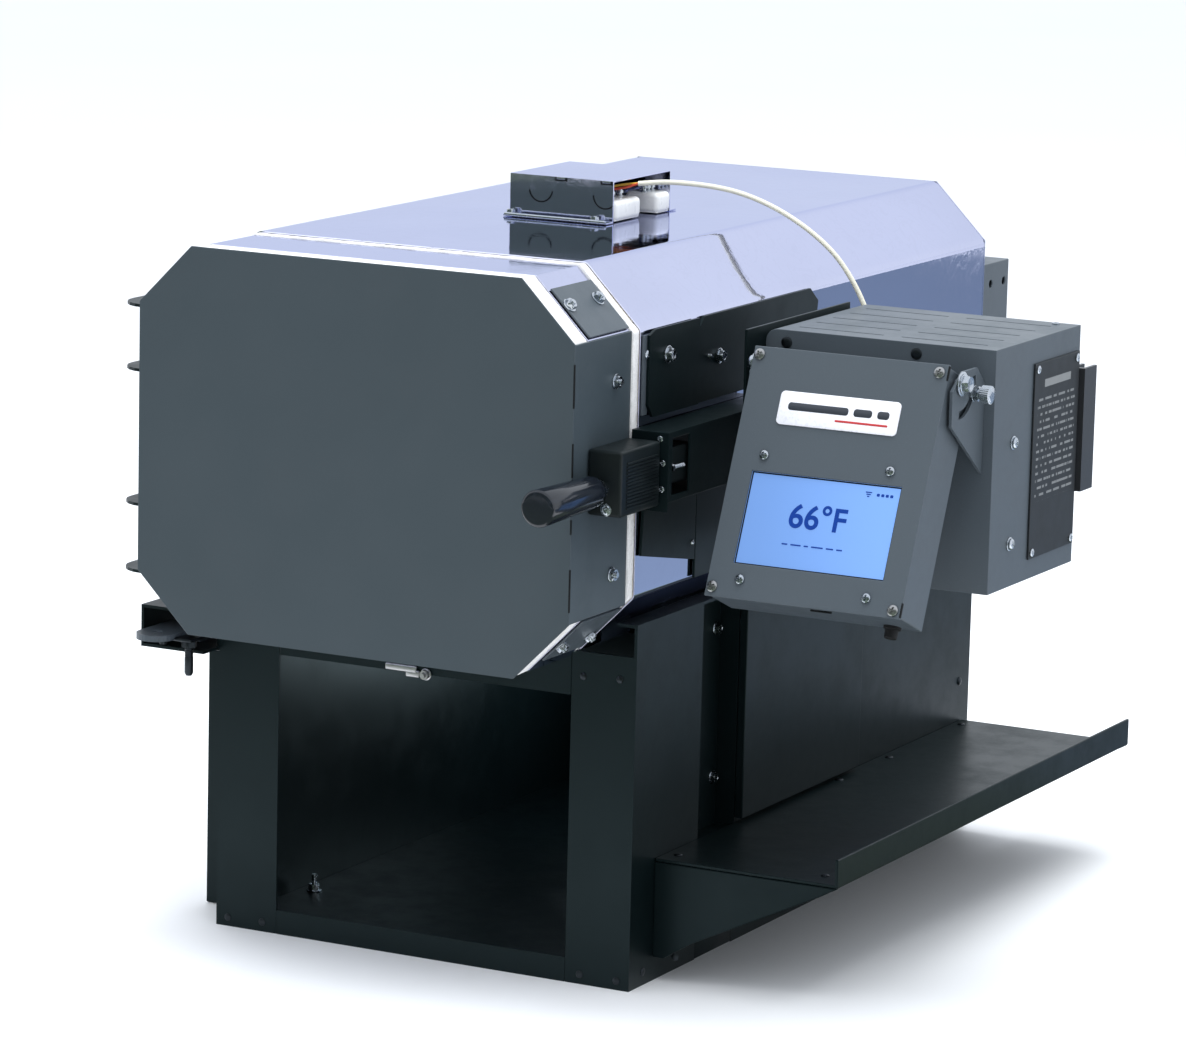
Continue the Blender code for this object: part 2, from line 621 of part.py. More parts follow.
def latch_receiver(wall):
    """The channel that the latch housing closes against, with a window at its front end."""
    left, right, front, rear, low, high = wall + GAP, 184.5, 73, 240, 323, 367
    outer = rectangle(left, low, right, high)
    inner = rectangle(left + 1.5, low + 1.5, right - 1.5, high - 1.5)
    channel = ring("latch_receiver", outer, inner, "Y", front, rear, BLACK)
    window = box("receiver_window", (right - 3, 78.5, low + 4), (right + 2, 102, high - 4), BLACK)
    nose = box("receiver_nose", (left, front, low - 6), (right, front + 1.5, high), BLACK)
    bore = prism("plunger_bore", circle((173, 345), 3.1, 16), "Y", front - 2, front + 4, BLACK)
    apron = [(86, 285), (161, 271), (161, low + 1), (89, low + 1)]
    skirt = prism("receiver_skirt", apron, "X", left, left + 2, BLACK)
    add(channel, nose, skirt)
    cut(channel, window, bore)
    box("door_switch", (164, 84, 334), (181, 112, 356), MATT_BLACK)
    plunger = [(front - 1.0, 1.8), (front - 0.4, 2.6), (83.7 - 4, 2.6)]
    turned("switch_plunger", plunger, (173, 345), "Y", MATT_BLACK, 16)


# ---- control case ------------------------------------------------------------------------------
def control_mount():
    """An open-topped trough that carries the control case off the side of the body."""
    left, right = BODY_WIDTH / 2 + 2 * GAP, CONTROL_LEFT - GAP
    trough = [
        (left, 427),
        (left, 336),
        (right, 336),
        (right, 424),
        (right - 2, 424),
        (right - 2, 338),
        (left + 2, 338),
        (left + 2, 427),
    ]
    front, rear = 243, 300
    mount = prism("control_mount", trough, "Y", front, rear, BLACK)
    inner_wall = [(158.5, 372), (front + 1, 372), (front + 1, 427), (166, 427), (158.5, 419)]
    nose = prism("mount_nose", inner_wall, "X", left, left + 2, BLACK)
    tail = prism("mount_tail", [(rear - 1, 340), (322, 340), (334, 418), (322, 427), (rear - 1, 427)], "X",
                 left, left + 2, BLACK)
    under_receiver = [(161.6, 259), (rear, 259), (rear, 340), (front + 0.5, 340), (front + 0.5, 322), (161.6, 322)]
    leg = prism("mount_leg", under_receiver, "X", left, left + 2, BLACK)
    outer_wall = prism("mount_outer", [(148, 372), (front + 1, 372), (front + 1, 424), (148, 424)], "X",
                       right - 2, right, BLACK)
    return add(mount, nose, tail, leg, outer_wall)


def control_case():
    """Sheet case with louvre slots in its lid and a cable entry at the back."""
    wall, radius = 1.5, 8
    left, right, low, high = CONTROL_LEFT, CONTROL_RIGHT, CONTROL_BOTTOM, CONTROL_TOP
    outline = [(left, low), (right, low), (right, high)]
    outline += arc((left + radius, high - radius), radius, 90, 180, 5)
    case = prism("control_case", outline, "Y", CONTROL_FRONT, CONTROL_REAR, GREY)
    room = [(left + wall, low + wall), (right - wall, low + wall), (right - wall, high - wall)]
    room += arc((left + radius, high - radius), radius - wall, 90, 180, 5)
    cut(case, prism("case_room", room, "Y", CONTROL_FRONT + wall, CONTROL_REAR - wall, GREY))
    for column, row, slot in lid_slots():
        x0, x1, y = slot
        cut(case, box(f"louvre_{column}_{row}", (x0, y - 0.9, high - 4), (x1, y + 0.9, high + 3), GREY))
    cut(case, prism("lead_entry", circle((221, 371.5), 5, 16), "Y", CONTROL_REAR - 5, CONTROL_REAR + 4, GREY))
    box("data_plate", (right + GAP, 234, 281), (right + 1.4, 306, 406), MATT_BLACK)
    heat_sink()
    box("circuit_board", (left + 12, CONTROL_FRONT + 8, 290), (left + 100, CONTROL_FRONT + 10, 400), BOARD)
    box("power_relay", (right - 50, CONTROL_REAR - 28, 330), (right - 8, CONTROL_REAR - wall - GAP, 378), MATT_BLACK)


def lid_slots():
    """Two columns of five slots across the lid, as (column, row, (start, end, y))."""
    first_y, pitch_y = 191, 25
    for row in range(5):
        for column, (start, end) in enumerate(((215, 273.5), (286, 344.5))):
            yield column, row, (start, end, first_y + row * pitch_y)


def heat_sink():
    """A finned block on the case's back, standing past its right edge."""
    base, tips, left, right = CONTROL_REAR + GAP, CONTROL_REAR + 20, 292, 362
    outline = [(left, base), (right, base)]
    fins, fin = 9, 2.2
    pitch = (right - left - fin) / (fins - 1)
    for i in reversed(range(fins)):
        x = left + i * pitch
        outline += [(x + fin, tips), (x, tips)]
        if i:
            outline += [(x, base + 4), (x - pitch + fin, base + 4)]
    prism("heat_sink", outline, "Z", 314, 394, ALUMINIUM)


def display_ears():
    """Upright ears on the case's front, each with the tilt pivot and one with the clamp slot."""
    pivot = (TILT_AXIS_Y, TILT_AXIS_Z)
    back = CONTROL_FRONT - GAP
    outline = [(back, 344), (back, 401), (161, 412.5), (140, 412.5), (124.5, 402), (124.5, 380)]
    for tag, x0, x1, fold in (
        ("right", DISPLAY_RIGHT + 1, DISPLAY_RIGHT + 3, -1),
        ("left", DISPLAY_LEFT - 3, DISPLAY_LEFT - 1, 1),
    ):
        ear = prism(f"display_ear_{tag}", outline, "X", x0, x1, GREY)
        reach = sorted((x0 if fold < 0 else x1, (x0 if fold < 0 else x1) + fold * 16))
        add(ear, box(f"ear_foot_{tag}", (reach[0] - 0.5, back - 2, 346), (reach[1] + 0.5, back, 398), GREY))
        cut(ear, prism(f"pivot_hole_{tag}", circle(pivot, 3.3, 16), "X", x0 - 1, x1 + 1, GREY))
        if tag == "right":
            start, end = CLAMP_ANGLE + TILT_DOWN + 10, CLAMP_ANGLE - TILT_UP - 10
            slot = arc(pivot, CLAMP_RADIUS + 2.6, start, end, 16) + arc(pivot, CLAMP_RADIUS - 2.6, end, start, 16)
            cut(ear, prism("clamp_slot", slot, "X", x0 - 1, x1 + 1, GREY))


# ---- display -----------------------------------------------------------------------------------
def tilted(outline):
    """Display outline points, as (behind the face, below the top), turned into (Y, Z) at the rest tilt."""
    lean = math.radians(DISPLAY_TILT)
    turned_points = []
    for behind, below in outline:
        back, down = behind - PIVOT_BEHIND_FACE, below - PIVOT_BELOW_TOP
        y = TILT_AXIS_Y + back * math.cos(lean) - down * math.sin(lean)
        z = TILT_AXIS_Z - back * math.sin(lean) - down * math.cos(lean)
        turned_points.append((y, z))
    return turned_points


def display():
    left, right = DISPLAY_LEFT, DISPLAY_RIGHT
    face = 1.6
    shell_outline = tilted(rectangle(face + GAP, 1, DISPLAY_DEPTH, DISPLAY_HEIGHT - 1))
    shell = prism("display_case", shell_outline, "X", left + 1, right - 1, GREY)
    room = tilted(rectangle(0, 2.5, DISPLAY_DEPTH - 1.5, DISPLAY_HEIGHT - 2.5))
    cut(shell, prism("display_room", room, "X", left + 2.5, right - 2.5, GREY))
    front = prism("display_front", tilted(rectangle(0, 0, face, DISPLAY_HEIGHT)), "X", left, right, GREY)
    top, bottom, screen_left, screen_right = 79, 138, 231, 332.5
    window = tilted(rectangle(-3, top, face + 3, bottom))
    cut(front, prism("screen_window", window, "X", screen_left, screen_right, GREY))
    glass = tilted(rectangle(face + GAP, top - 4, face + 4, bottom + 4))
    prism("touch_screen", glass, "X", screen_left - 4, screen_right + 4, GLASS)
    pivot = (TILT_AXIS_Y, TILT_AXIS_Z)
    profile_right = [(right - 1 + GAP, 2.8), (right + 3 + GAP, 2.8), (right + 3 + GAP, 8.0), (right + 5, 8.0)]
    profile_right += [(right + 5, 6.0), (right + 9, 6.0), (right + 10.5, 4.0)]
    turned("tilt_bolt_right", profile_right, pivot, "X", ZINC)
    profile_left = [(left + 1 - GAP, 2.8), (left - 3 - GAP, 2.8), (left - 3 - GAP, 8.0), (left - 5, 8.0)]
    profile_left += [(left - 5, 6.0), (left - 9, 6.0), (left - 10.5, 4.0)]
    turned("tilt_bolt_left", profile_left, pivot, "X", ZINC)
    clamp = arc(pivot, CLAMP_RADIUS, CLAMP_ANGLE, CLAMP_ANGLE, 1)[0]
    knob = [(right - 1 + GAP, 1.9), (right + 3 + GAP, 1.9), (right + 3 + GAP, 5.2), (right + 7, 5.2)]
    knob += [(right + 7, 3.4), (right + 9, 3.4), (right + 9, 6.2), (right + 16, 6.2), (right + 17, 5.0)]
    turned("tilt_clamp_knob", knob, clamp, "X", ZINC, 24)


# ---- joints ------------------------------------------------------------------------------------
def hang(name, point, *pieces):
    """Hangs pieces on an empty that stands on their joint's axis, and leaves them where they are."""
    axis = bpy.data.objects.new(name, None)
    axis.location = place(point)
    bpy.context.scene.collection.objects.link(axis)
    for piece in pieces:
        child = bpy.data.objects[piece]
        child.parent = axis
        child.matrix_parent_inverse = Matrix.Translation(-place(point))


def joints():
    doorway = ["door_plate", "door_fibre_pad", "door_band", "door_brick", "latch_housing", "door_handle"]
    doorway += [f"{piece}_{tag}" for piece in ("corner_tab", "hinge_leaf") for tag in ("upper", "lower")]
    hang("door_swing_axis", (HINGE_X, HINGE_Y, CHAMBER_Z), *doorway)
    middle = (DISPLAY_LEFT + DISPLAY_RIGHT) / 2
    facing = ["display_case", "display_front", "touch_screen", "tilt_bolt_left", "tilt_bolt_right"]
    hang("display_tilt_axis", (middle, TILT_AXIS_Y, TILT_AXIS_Z), *facing)
    knob = arc((TILT_AXIS_Y, TILT_AXIS_Z), CLAMP_RADIUS, CLAMP_ANGLE, CLAMP_ANGLE, 1)[0]
    hang("clamp_knob_axis", (DISPLAY_RIGHT, *knob), "tilt_clamp_knob")
    hang("switch_travel_axis", (173, BODY_FRONT, 345), "switch_plunger")


stand()
body()
top_box()
door()
hinges()
latch_side()
control_mount()
control_case()
display_ears()
display()
joints()
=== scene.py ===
"""Looks of the bench heat-treating kiln: fine pieces, finishes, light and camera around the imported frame.

Metres, Z up, -Y out of the door, +X to the side of the tray and the controls. Small pieces are laid
out in millimetres, with Y counted from the door's front face, and placed() turns that into metres.
"""
import json
import math

import bpy
import numpy as np
from mathutils import Matrix, Quaternion, Vector


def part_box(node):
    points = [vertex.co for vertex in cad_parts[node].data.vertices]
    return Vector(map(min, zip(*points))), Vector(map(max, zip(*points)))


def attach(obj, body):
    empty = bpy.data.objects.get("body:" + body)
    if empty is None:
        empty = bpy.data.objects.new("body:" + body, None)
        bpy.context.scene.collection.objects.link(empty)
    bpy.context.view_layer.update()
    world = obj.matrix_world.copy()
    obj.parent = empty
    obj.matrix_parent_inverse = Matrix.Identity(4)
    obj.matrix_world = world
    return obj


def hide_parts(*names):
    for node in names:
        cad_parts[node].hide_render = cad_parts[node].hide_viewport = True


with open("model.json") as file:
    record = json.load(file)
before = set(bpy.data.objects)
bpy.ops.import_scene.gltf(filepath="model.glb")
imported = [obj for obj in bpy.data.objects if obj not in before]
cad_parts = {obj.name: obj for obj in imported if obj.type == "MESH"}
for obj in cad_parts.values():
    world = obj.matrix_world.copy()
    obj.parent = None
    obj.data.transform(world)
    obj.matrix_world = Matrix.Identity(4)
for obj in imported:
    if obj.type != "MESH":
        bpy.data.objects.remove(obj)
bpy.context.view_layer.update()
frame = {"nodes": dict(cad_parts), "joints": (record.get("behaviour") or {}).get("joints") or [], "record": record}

MM = 0.001
DOOR_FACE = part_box("door_plate")[0].y
HALF_ROOT = math.sqrt(0.5)
RIGHT, LEFT = (1, 0, 0), (-1, 0, 0)
FRONT, BACK = (0, -1, 0), (0, 1, 0)
UP, DOWN = (0, 0, 1), (0, 0, -1)


def placed(points):
    """Millimetres, with Y from the door's face, turned into metres in the frame."""
    return np.asarray(points, float) * MM + np.array([0, DOOR_FACE, 0])


def node_box(node):
    """A node's lowest and highest corners in millimetres, with Y from the door's face."""
    return [(np.array(corner) - np.array([0, DOOR_FACE, 0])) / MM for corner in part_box(node)]


# ---- camera and light --------------------------------------------------------------------------
def camera():
    """Looks at the kiln from its front right, a little from above, through a long lens."""
    azimuth, elevation, roll = map(math.radians, (27.57, 10.53, 1.39))
    distance, aim = 3.5237, Vector((0.01075, -0.0529, 0.2573))
    level = Vector((math.cos(azimuth), math.sin(azimuth), 0))
    away = Vector((math.sin(azimuth), -math.cos(azimuth), 0))
    back = away * math.cos(elevation) + Vector(UP) * math.sin(elevation)
    upward = back.cross(level)
    right = level * math.cos(roll) + upward * math.sin(roll)
    up = upward * math.cos(roll) - level * math.sin(roll)
    data = bpy.data.cameras.new("camera")
    data.lens, data.sensor_width = 158.54, 36
    data.clip_end = 50
    made = linked("camera", data)
    turn = Matrix((right, up, back)).transposed().to_4x4()
    made.matrix_world = Matrix.Translation(aim + back * distance) @ turn
    bpy.context.scene.camera = made


def soft_box(name, place, aim, size, power, colour, mirrored=False):
    """A square area light turned to an aim point; reflections show it only if it is mirrored."""
    data = bpy.data.lights.new(name, "AREA")
    data.shape, data.size, data.energy, data.color = "SQUARE", size, power, colour
    made = linked(name, data)
    made.visible_camera, made.visible_glossy = False, mirrored
    made.location = place
    made.rotation_euler = (Vector(aim) - Vector(place)).to_track_quat("-Z", "Y").to_euler()


def flag(name, x, y, z, colour=(0.115, 0.14, 0.105)):
    """A dark card that only reflections see, so that the mirror sheet has something dark to show."""
    card = flat_card(name, x, y, z)
    card.data.materials.append(Finish(name, colour, 0.9, specular_ior_level=0.0).material)
    card.visible_camera = card.visible_diffuse = card.visible_shadow = False


def studio():
    """A white room: a bright world, soft boxes, a pale floor, and dark flags in front and at the right."""
    world = bpy.data.worlds.new("studio")
    world.use_nodes = True
    background = world.node_tree.nodes["Background"]
    background.inputs["Color"].default_value = (0.88, 0.93, 1.0, 1)
    background.inputs["Strength"].default_value = 1.13
    bpy.context.scene.world = world
    middle, daylight = (0, 0, 0.3), (0.95, 0.98, 1.0)
    soft_box("overhead", (0.3, -0.2, 2.8), middle, 2.4, 98, daylight)
    soft_box("front_left", (-3.0, -2.2, 2.0), middle, 1.8, 7, daylight)
    soft_box("right", (3.0, -0.8, 1.5), middle, 1.8, 2, daylight)
    soft_box("bay_fill", (0.0, 0.18, 0.145), (-0.15, -0.02, 0.150), 0.12, 0.27, (0.75, 0.92, 1.0), True)
    view = bpy.context.scene.view_settings
    view.view_transform, view.look = "Standard", "None"
    floor = flat_card("floor", (-8, 8), (-8, 8), (0, 0))
    floor.data.materials.append(floor_finish())
    on_floor, ahead = (0.004, 0.004), -4.6
    flag("flag_ahead", (-7, 7), (ahead, ahead), (0.1, 4))
    flag("flag_beside", (0.2, 0.6), (-0.75, 0.4), on_floor)
    flag("flag_behind", (0.3, 2.6), (0.4, 3.2), on_floor, (0.20, 0.25, 0.32))
    flag("flag_below", (-7, 7), (ahead, -0.75), on_floor)


# ---- mesh making -------------------------------------------------------------------------------
def quads(rows, columns, closed=True, round_again=False):
    """Faces between rows of a grid; closed joins the last column to the first, round_again the rows."""
    first = np.arange(rows if round_again else rows - 1)
    across = np.arange(columns if closed else columns - 1)
    row, column = np.meshgrid(first, across, indexing="ij")
    above, beside = (row + 1) % rows, (column + 1) % columns
    low, high = row * columns, above * columns
    return np.stack((low + column, low + beside, high + beside, high + column), -1).reshape(-1, 4)


def linked(name, data):
    """A new object of the scene that holds a mesh, a light or a camera."""
    made = bpy.data.objects.new(name, data)
    bpy.context.scene.collection.objects.link(made)
    return made


def flat_card(name, x, y, z):
    """A rectangle in metres: each of x, y and z gives its first and its last place."""
    mesh = bpy.data.meshes.new(name)
    corners = [(x[0], y[0], z[0]), (x[1], y[0], z[0]), (x[0], y[1], z[1]), (x[1], y[1], z[1])]
    mesh.from_pydata(corners, [], quads(2, 2, closed=False).tolist())
    return linked(name, mesh)


class Shape:
    """Points in millimetres, their (round, along) pairs and the faces between them, gathered for one mesh."""

    def __init__(self):
        self.points, self.faces, self.wrap, self.count = [], [], [], 0

    def add(self, points, faces, caps=(), wrap=None):
        points = np.reshape(points, (-1, 3))
        self.points.append(points)
        self.wrap.append(np.zeros((len(points), 2)) if wrap is None else np.reshape(wrap, (-1, 2)))
        self.faces += (faces + self.count).tolist()
        self.faces += [(np.asarray(cap) + self.count).tolist() for cap in caps]
        self.count += len(points)

    def grid(self, points, wrap=None):
        """A tube of rings, rows x columns x 3, with both ends capped by a face."""
        rows, columns = points.shape[:2]
        bottom, top = np.arange(columns)[::-1], np.arange(columns) + (rows - 1) * columns
        self.add(points, quads(rows, columns), (bottom, top), wrap)

    def put(self, points, centre, axis, spin=0.0):
        """A tube made about its own Z axis, stood at a centre along an axis."""
        self.grid(aimed(points, centre, axis, spin))

    def block(self, low, high, radius, steps=4):
        self.grid(rounded_box(low, high, radius, steps))

    def piece(self, name, finish, body, slot, sharp=40):
        """One object on a body, smooth where its faces meet at less than the sharp angle."""
        mesh = bpy.data.meshes.new(name)
        mesh.from_pydata(placed(np.vstack(self.points)), [], self.faces)
        mesh.materials.append(finish)
        layer = mesh.uv_layers.new(name="wrap")
        corners = np.zeros(len(mesh.loops), np.int32)
        mesh.loops.foreach_get("vertex_index", corners)
        layer.data.foreach_set("uv", np.vstack(self.wrap)[corners].astype(np.float32).ravel())
        mesh.shade_smooth()
        mesh.set_sharp_from_angle(angle=math.radians(sharp))
        made = linked(name, mesh)
        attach(made, body)
        return made


def angles(count):
    return np.linspace(0, 2 * np.pi, count, endpoint=False)


def aimed(points, centre, axis, spin=0.0):
    """Points about their own Z axis, turned so that it lies along an axis, and moved to a centre."""
    turn = Vector(axis).to_track_quat("Z", "Y") @ Quaternion((0, 0, 1), math.radians(spin))
    return points @ np.array(turn.to_matrix()).T + np.asarray(centre, float)


def lathe(profile, sides=24, outline=None):
    """Rings about Z, a circle or an outline for each (height, radius) of the profile."""
    height, radius = np.array(profile, float).T
    turn = angles(sides)
    scale = np.ones(sides) if outline is None else outline(turn)
    reach = radius[:, None] * scale[None, :]
    rise = np.broadcast_to(height[:, None], reach.shape)
    return np.stack([reach * np.cos(turn), reach * np.sin(turn), rise], -1)


def hexagon(turn):
    """Radius of a hexagon with flats one unit from its middle: one over the cosine from the nearest flat."""
    return 1 / np.cos((turn + np.pi / 6) % (np.pi / 3) - np.pi / 6)


def rounded_box(low, high, radius, steps=4):
    """A box with rounded edges: the sphere of that radius, each eighth of it moved out to its own corner."""
    low, high = np.array(low, float), np.array(high, float)
    quarter = np.linspace(0, np.pi / 2, steps + 1)
    turn = (np.arange(4)[:, None] * np.pi / 2 + quarter[None, :]).ravel()
    side = (np.arange(4)[:, None] * np.pi / 2 + np.pi / 4 + 0 * quarter[None, :]).ravel()
    rise = np.concatenate([quarter - np.pi / 2, quarter])
    level = np.repeat([-1, 1], steps + 1)
    inner = (high - low) / 2 - radius
    across = np.cos(rise)[:, None] * radius
    x = np.sign(np.cos(side)) * inner[0] + across * np.cos(turn)
    y = np.sign(np.sin(side)) * inner[1] + across * np.sin(turn)
    z = np.broadcast_to((level * inner[2] + np.sin(rise) * radius)[:, None], x.shape)
    return np.stack([x, y, z], -1) + (low + high) / 2


def frames_along(path, across):
    """Side and third direction at each point of a path, both square to it and the third to the across one."""
    tangent = np.gradient(path, axis=0)
    tangent /= np.linalg.norm(tangent, axis=1)[:, None]
    third = np.cross(tangent, across)
    third /= np.linalg.norm(third, axis=1)[:, None]
    return np.cross(third, tangent), third


def walked_along(path):
    """The length of a path up to each of its points."""
    return np.concatenate([[0], np.cumsum(np.linalg.norm(np.diff(path, axis=0), axis=1))])


def tube(path, radius, sides=10, across=(0.0, 0.0, 1.0)):
    """Rings of a radius carried along a path, with the (round, along) pair of each point in millimetres."""
    path = np.asarray(path, float)
    side, third = frames_along(path, np.array(across))
    turn = angles(sides)
    ring = side[:, None, :] * np.cos(turn)[None, :, None] + third[:, None, :] * np.sin(turn)[None, :, None]
    points = path[:, None, :] + ring * radius
    along = walked_along(path)
    wrap = np.stack(np.broadcast_arrays(turn[None, :] / (2 * np.pi), along[:, None]), -1)
    return points, wrap


def through(points, count):
    """Evenly spaced points on the Catmull-Rom curve through a few given ones."""
    known = np.array(points, float)
    known = np.vstack([2 * known[0] - known[1], known, 2 * known[-1] - known[-2]])
    t = np.linspace(0, 1, 24, endpoint=False)[:, None]
    runs = []
    for a, b, c, d in zip(known, known[1:], known[2:], known[3:]):
        square, cube = 2 * a - 5 * b + 4 * c - d, 3 * b - a - 3 * c + d
        runs.append(0.5 * (2 * b + (c - a) * t + square * t**2 + cube * t**3))
    dense = np.vstack([*runs, known[-2]])
    walked = walked_along(dense)
    even = np.linspace(0, walked[-1], count)
    return np.stack([np.interp(even, walked, dense[:, i]) for i in range(3)], -1)


def wander(turn, seed, waves=9, first=2):
    """A smooth random curve round a loop: sines of rising frequency and falling size."""
    dice = np.random.default_rng(seed)
    total = np.zeros_like(turn)
    for wave in range(first, first + waves):
        total += dice.normal() / math.sqrt(wave) * np.sin(wave * turn + dice.uniform(0, 2 * np.pi))
    return total / 2


# ---- shader making -----------------------------------------------------------------------------
def math_method(operation):
    """A method of Value that adds the Math node of one operation."""
    return lambda self, other: self.finish.math(operation, self, other)


class Value:
    """A shader socket in an expression: each operator adds the Math node that works it out."""

    def __init__(self, finish, socket):
        self.finish, self.socket = finish, socket

    __add__ = __radd__ = math_method("ADD")
    __mul__ = __rmul__ = math_method("MULTIPLY")
    __sub__, __truediv__, __mod__ = map(math_method, ("SUBTRACT", "DIVIDE", "FLOORED_MODULO"))
    __lt__, __gt__ = map(math_method, ("LESS_THAN", "GREATER_THAN"))

    def __rsub__(self, other):
        return self.finish.math("SUBTRACT", other, self)

    def __abs__(self):
        return self.finish.math("ABSOLUTE", self)


class Finish:
    """A material made round one Principled shader, whose fixed values are set on its own sockets."""

    def __init__(self, name, colour, roughness, **fixed):
        self.material = bpy.data.materials.new(name)
        self.material.use_nodes = True
        self.tree = self.material.node_tree
        self.shader = self.tree.nodes["Principled BSDF"]
        self.set("Base Color", (*colour, 1))
        self.set("Roughness", roughness)
        for socket, value in fixed.items():
            self.set(socket.replace("_", " ").title().replace("Ior", "IOR"), value)
        self.place = self.node("ShaderNodeTexCoord").outputs["Object"]

    def set(self, socket, value):
        self.join(self.shader.inputs[socket], value)

    def join(self, socket, value):
        if isinstance(value, Value):
            value = value.socket
        if isinstance(value, bpy.types.NodeSocket):
            self.tree.links.new(value, socket)
        else:
            socket.default_value = value

    def node(self, kind, settings=None, inputs=None):
        """A node of a kind, with its settings made first and then the values or links of its sockets."""
        made = self.tree.nodes.new(kind)
        for name, value in (settings or {}).items():
            setattr(made, name, value)
        for socket, value in (inputs or {}).items():
            self.join(made.inputs[socket], value)
        return made

    def math(self, operation, *inputs):
        made = self.node("ShaderNodeMath", {"operation": operation}, dict(enumerate(inputs)))
        return Value(self, made.outputs[0])

    def axes(self, source=None):
        split = self.node("ShaderNodeSeparateXYZ", None, {0: source or self.place})
        return [Value(self, split.outputs[i]) for i in range(3)]

    def wrapped(self):
        """The piece's own (round, along) map."""
        return self.axes(self.node("ShaderNodeUVMap", {"uv_map": "wrap"}).outputs["UV"])[:2]

    def noise(self, scale, detail=2.0, roughness=0.5, distortion=0.0, stretch=None):
        source = self.place
        if stretch:
            source = self.node("ShaderNodeMapping", None, {"Vector": source, "Scale": stretch}).outputs[0]
        made = self.node("ShaderNodeTexNoise", None, {
            "Vector": source, "Scale": scale, "Detail": detail, "Roughness": roughness, "Distortion": distortion
        })
        return Value(self, made.outputs["Fac"])

    def cells(self, scale, feature="F1"):
        made = self.node("ShaderNodeTexVoronoi", {"feature": feature}, {"Vector": self.place, "Scale": scale})
        return Value(self, made.outputs["Distance"])

    def between(self, value, low, high, start=0.0, end=1.0):
        """The value carried from low..high to start..end, smoothly and held at both ends."""
        made = self.node("ShaderNodeMapRange", {"interpolation_type": "SMOOTHSTEP"}, {
            "Value": value, "From Min": low, "From Max": high, "To Min": start, "To Max": end
        })
        return Value(self, made.outputs[0])

    def blend(self, factor, first, second):
        """Two colours mixed by a factor."""
        made = self.node("ShaderNodeMix", {"data_type": "RGBA"}, {0: factor})
        for socket, colour in ((6, first), (7, second)):
            self.join(made.inputs[socket], (*colour, 1) if isinstance(colour, tuple) else colour)
        return made.outputs[2]

    def bump(self, height, strength, distance):
        """Adds a bump, in metres of height, on top of any that is there."""
        inputs = {"Height": height, "Strength": strength, "Distance": distance}
        made = self.node("ShaderNodeBump", None, inputs)
        normal = self.shader.inputs["Normal"]
        if normal.is_linked:
            self.join(made.inputs["Normal"], normal.links[0].from_socket)
        self.join(normal, made.outputs[0])


def scaled(colour, factor):
    return tuple(part * factor for part in colour)


def powder_coat(name, colour, roughness, grain=900, depth=0.00006, cloud=0.10, gloss=0.5, sheen=(1, 1, 1)):
    """Baked powder paint: cloudy depth of colour, a fine orange-peel grain, specks and rubbed patches."""
    paint = Finish(name, colour, roughness, specular_ior_level=gloss, specular_tint=(*sheen, 1))
    cloudy = paint.noise(9, 4, 0.6)
    speckle = paint.between(paint.noise(2600, 1), 0.66, 0.74)
    tone = paint.blend(cloudy, scaled(colour, 1 - cloud), scaled(colour, 1 + cloud))
    paint.set("Base Color", paint.blend(speckle * 0.35, tone, scaled(colour, 2.2)))
    worn = paint.between(paint.noise(23, 5, 0.7), 0.35, 0.75)
    paint.set("Roughness", roughness - 0.06 + worn * 0.12 + speckle * 0.05)
    paint.bump(paint.noise(grain, 2, 0.6), 0.35, depth)
    return paint.material


def mirror_sheet(name, colour, edge, roughness=0.045, waviness=0.5):
    """Bright rolled sheet: slow waves, a faint marbled film, cleaning smears and tiny dust marks."""
    metal = Finish(name, colour, roughness, metallic=1.0, specular_tint=(*edge, 1))
    marbled = metal.noise(34, 3, 0.55, 2.2)
    veins = 1 - metal.between(abs(marbled - 0.5), 0.0, 0.035)
    smear = metal.between(metal.noise(7, 4, 0.6, 0.0, (1.0, 0.35, 1.0)), 0.42, 0.72)
    dust = metal.between(metal.cells(420), 0.02, 0.10, 1.0, 0.0)
    base = metal.blend(smear, colour, scaled(colour, 0.94))
    metal.set("Base Color", metal.blend(veins * 0.16, base, scaled(colour, 0.86)))
    metal.set("Roughness", roughness + smear * 0.035 + veins * 0.03 + dust * 0.12)
    metal.bump(metal.noise(5.5, 1), waviness, 0.0014)
    metal.bump(marbled, 0.5, 0.00013)
    return metal.material


def fibre_board(name, colour, tint):
    """Pressed ceramic fibre: matted strands, soft lumps, and edges a little stained by heat."""
    felt = Finish(name, colour, 0.95, sheen_weight=0.25, sheen_roughness=0.6)
    strands = felt.noise(700, 4, 0.7, 1.5, (1.0, 0.4, 1.0))
    lumps = felt.noise(120, 3)
    stain = felt.between(felt.noise(45, 4, 0.65), 0.56, 0.74)
    shade = felt.blend(felt.between(strands, 0.3, 0.7), scaled(colour, 0.84), colour)
    felt.set("Base Color", felt.blend(stain * 0.5, shade, tint))
    felt.bump(lumps, 0.5, 0.0012)
    felt.bump(strands, 0.7, 0.0005)
    return felt.material


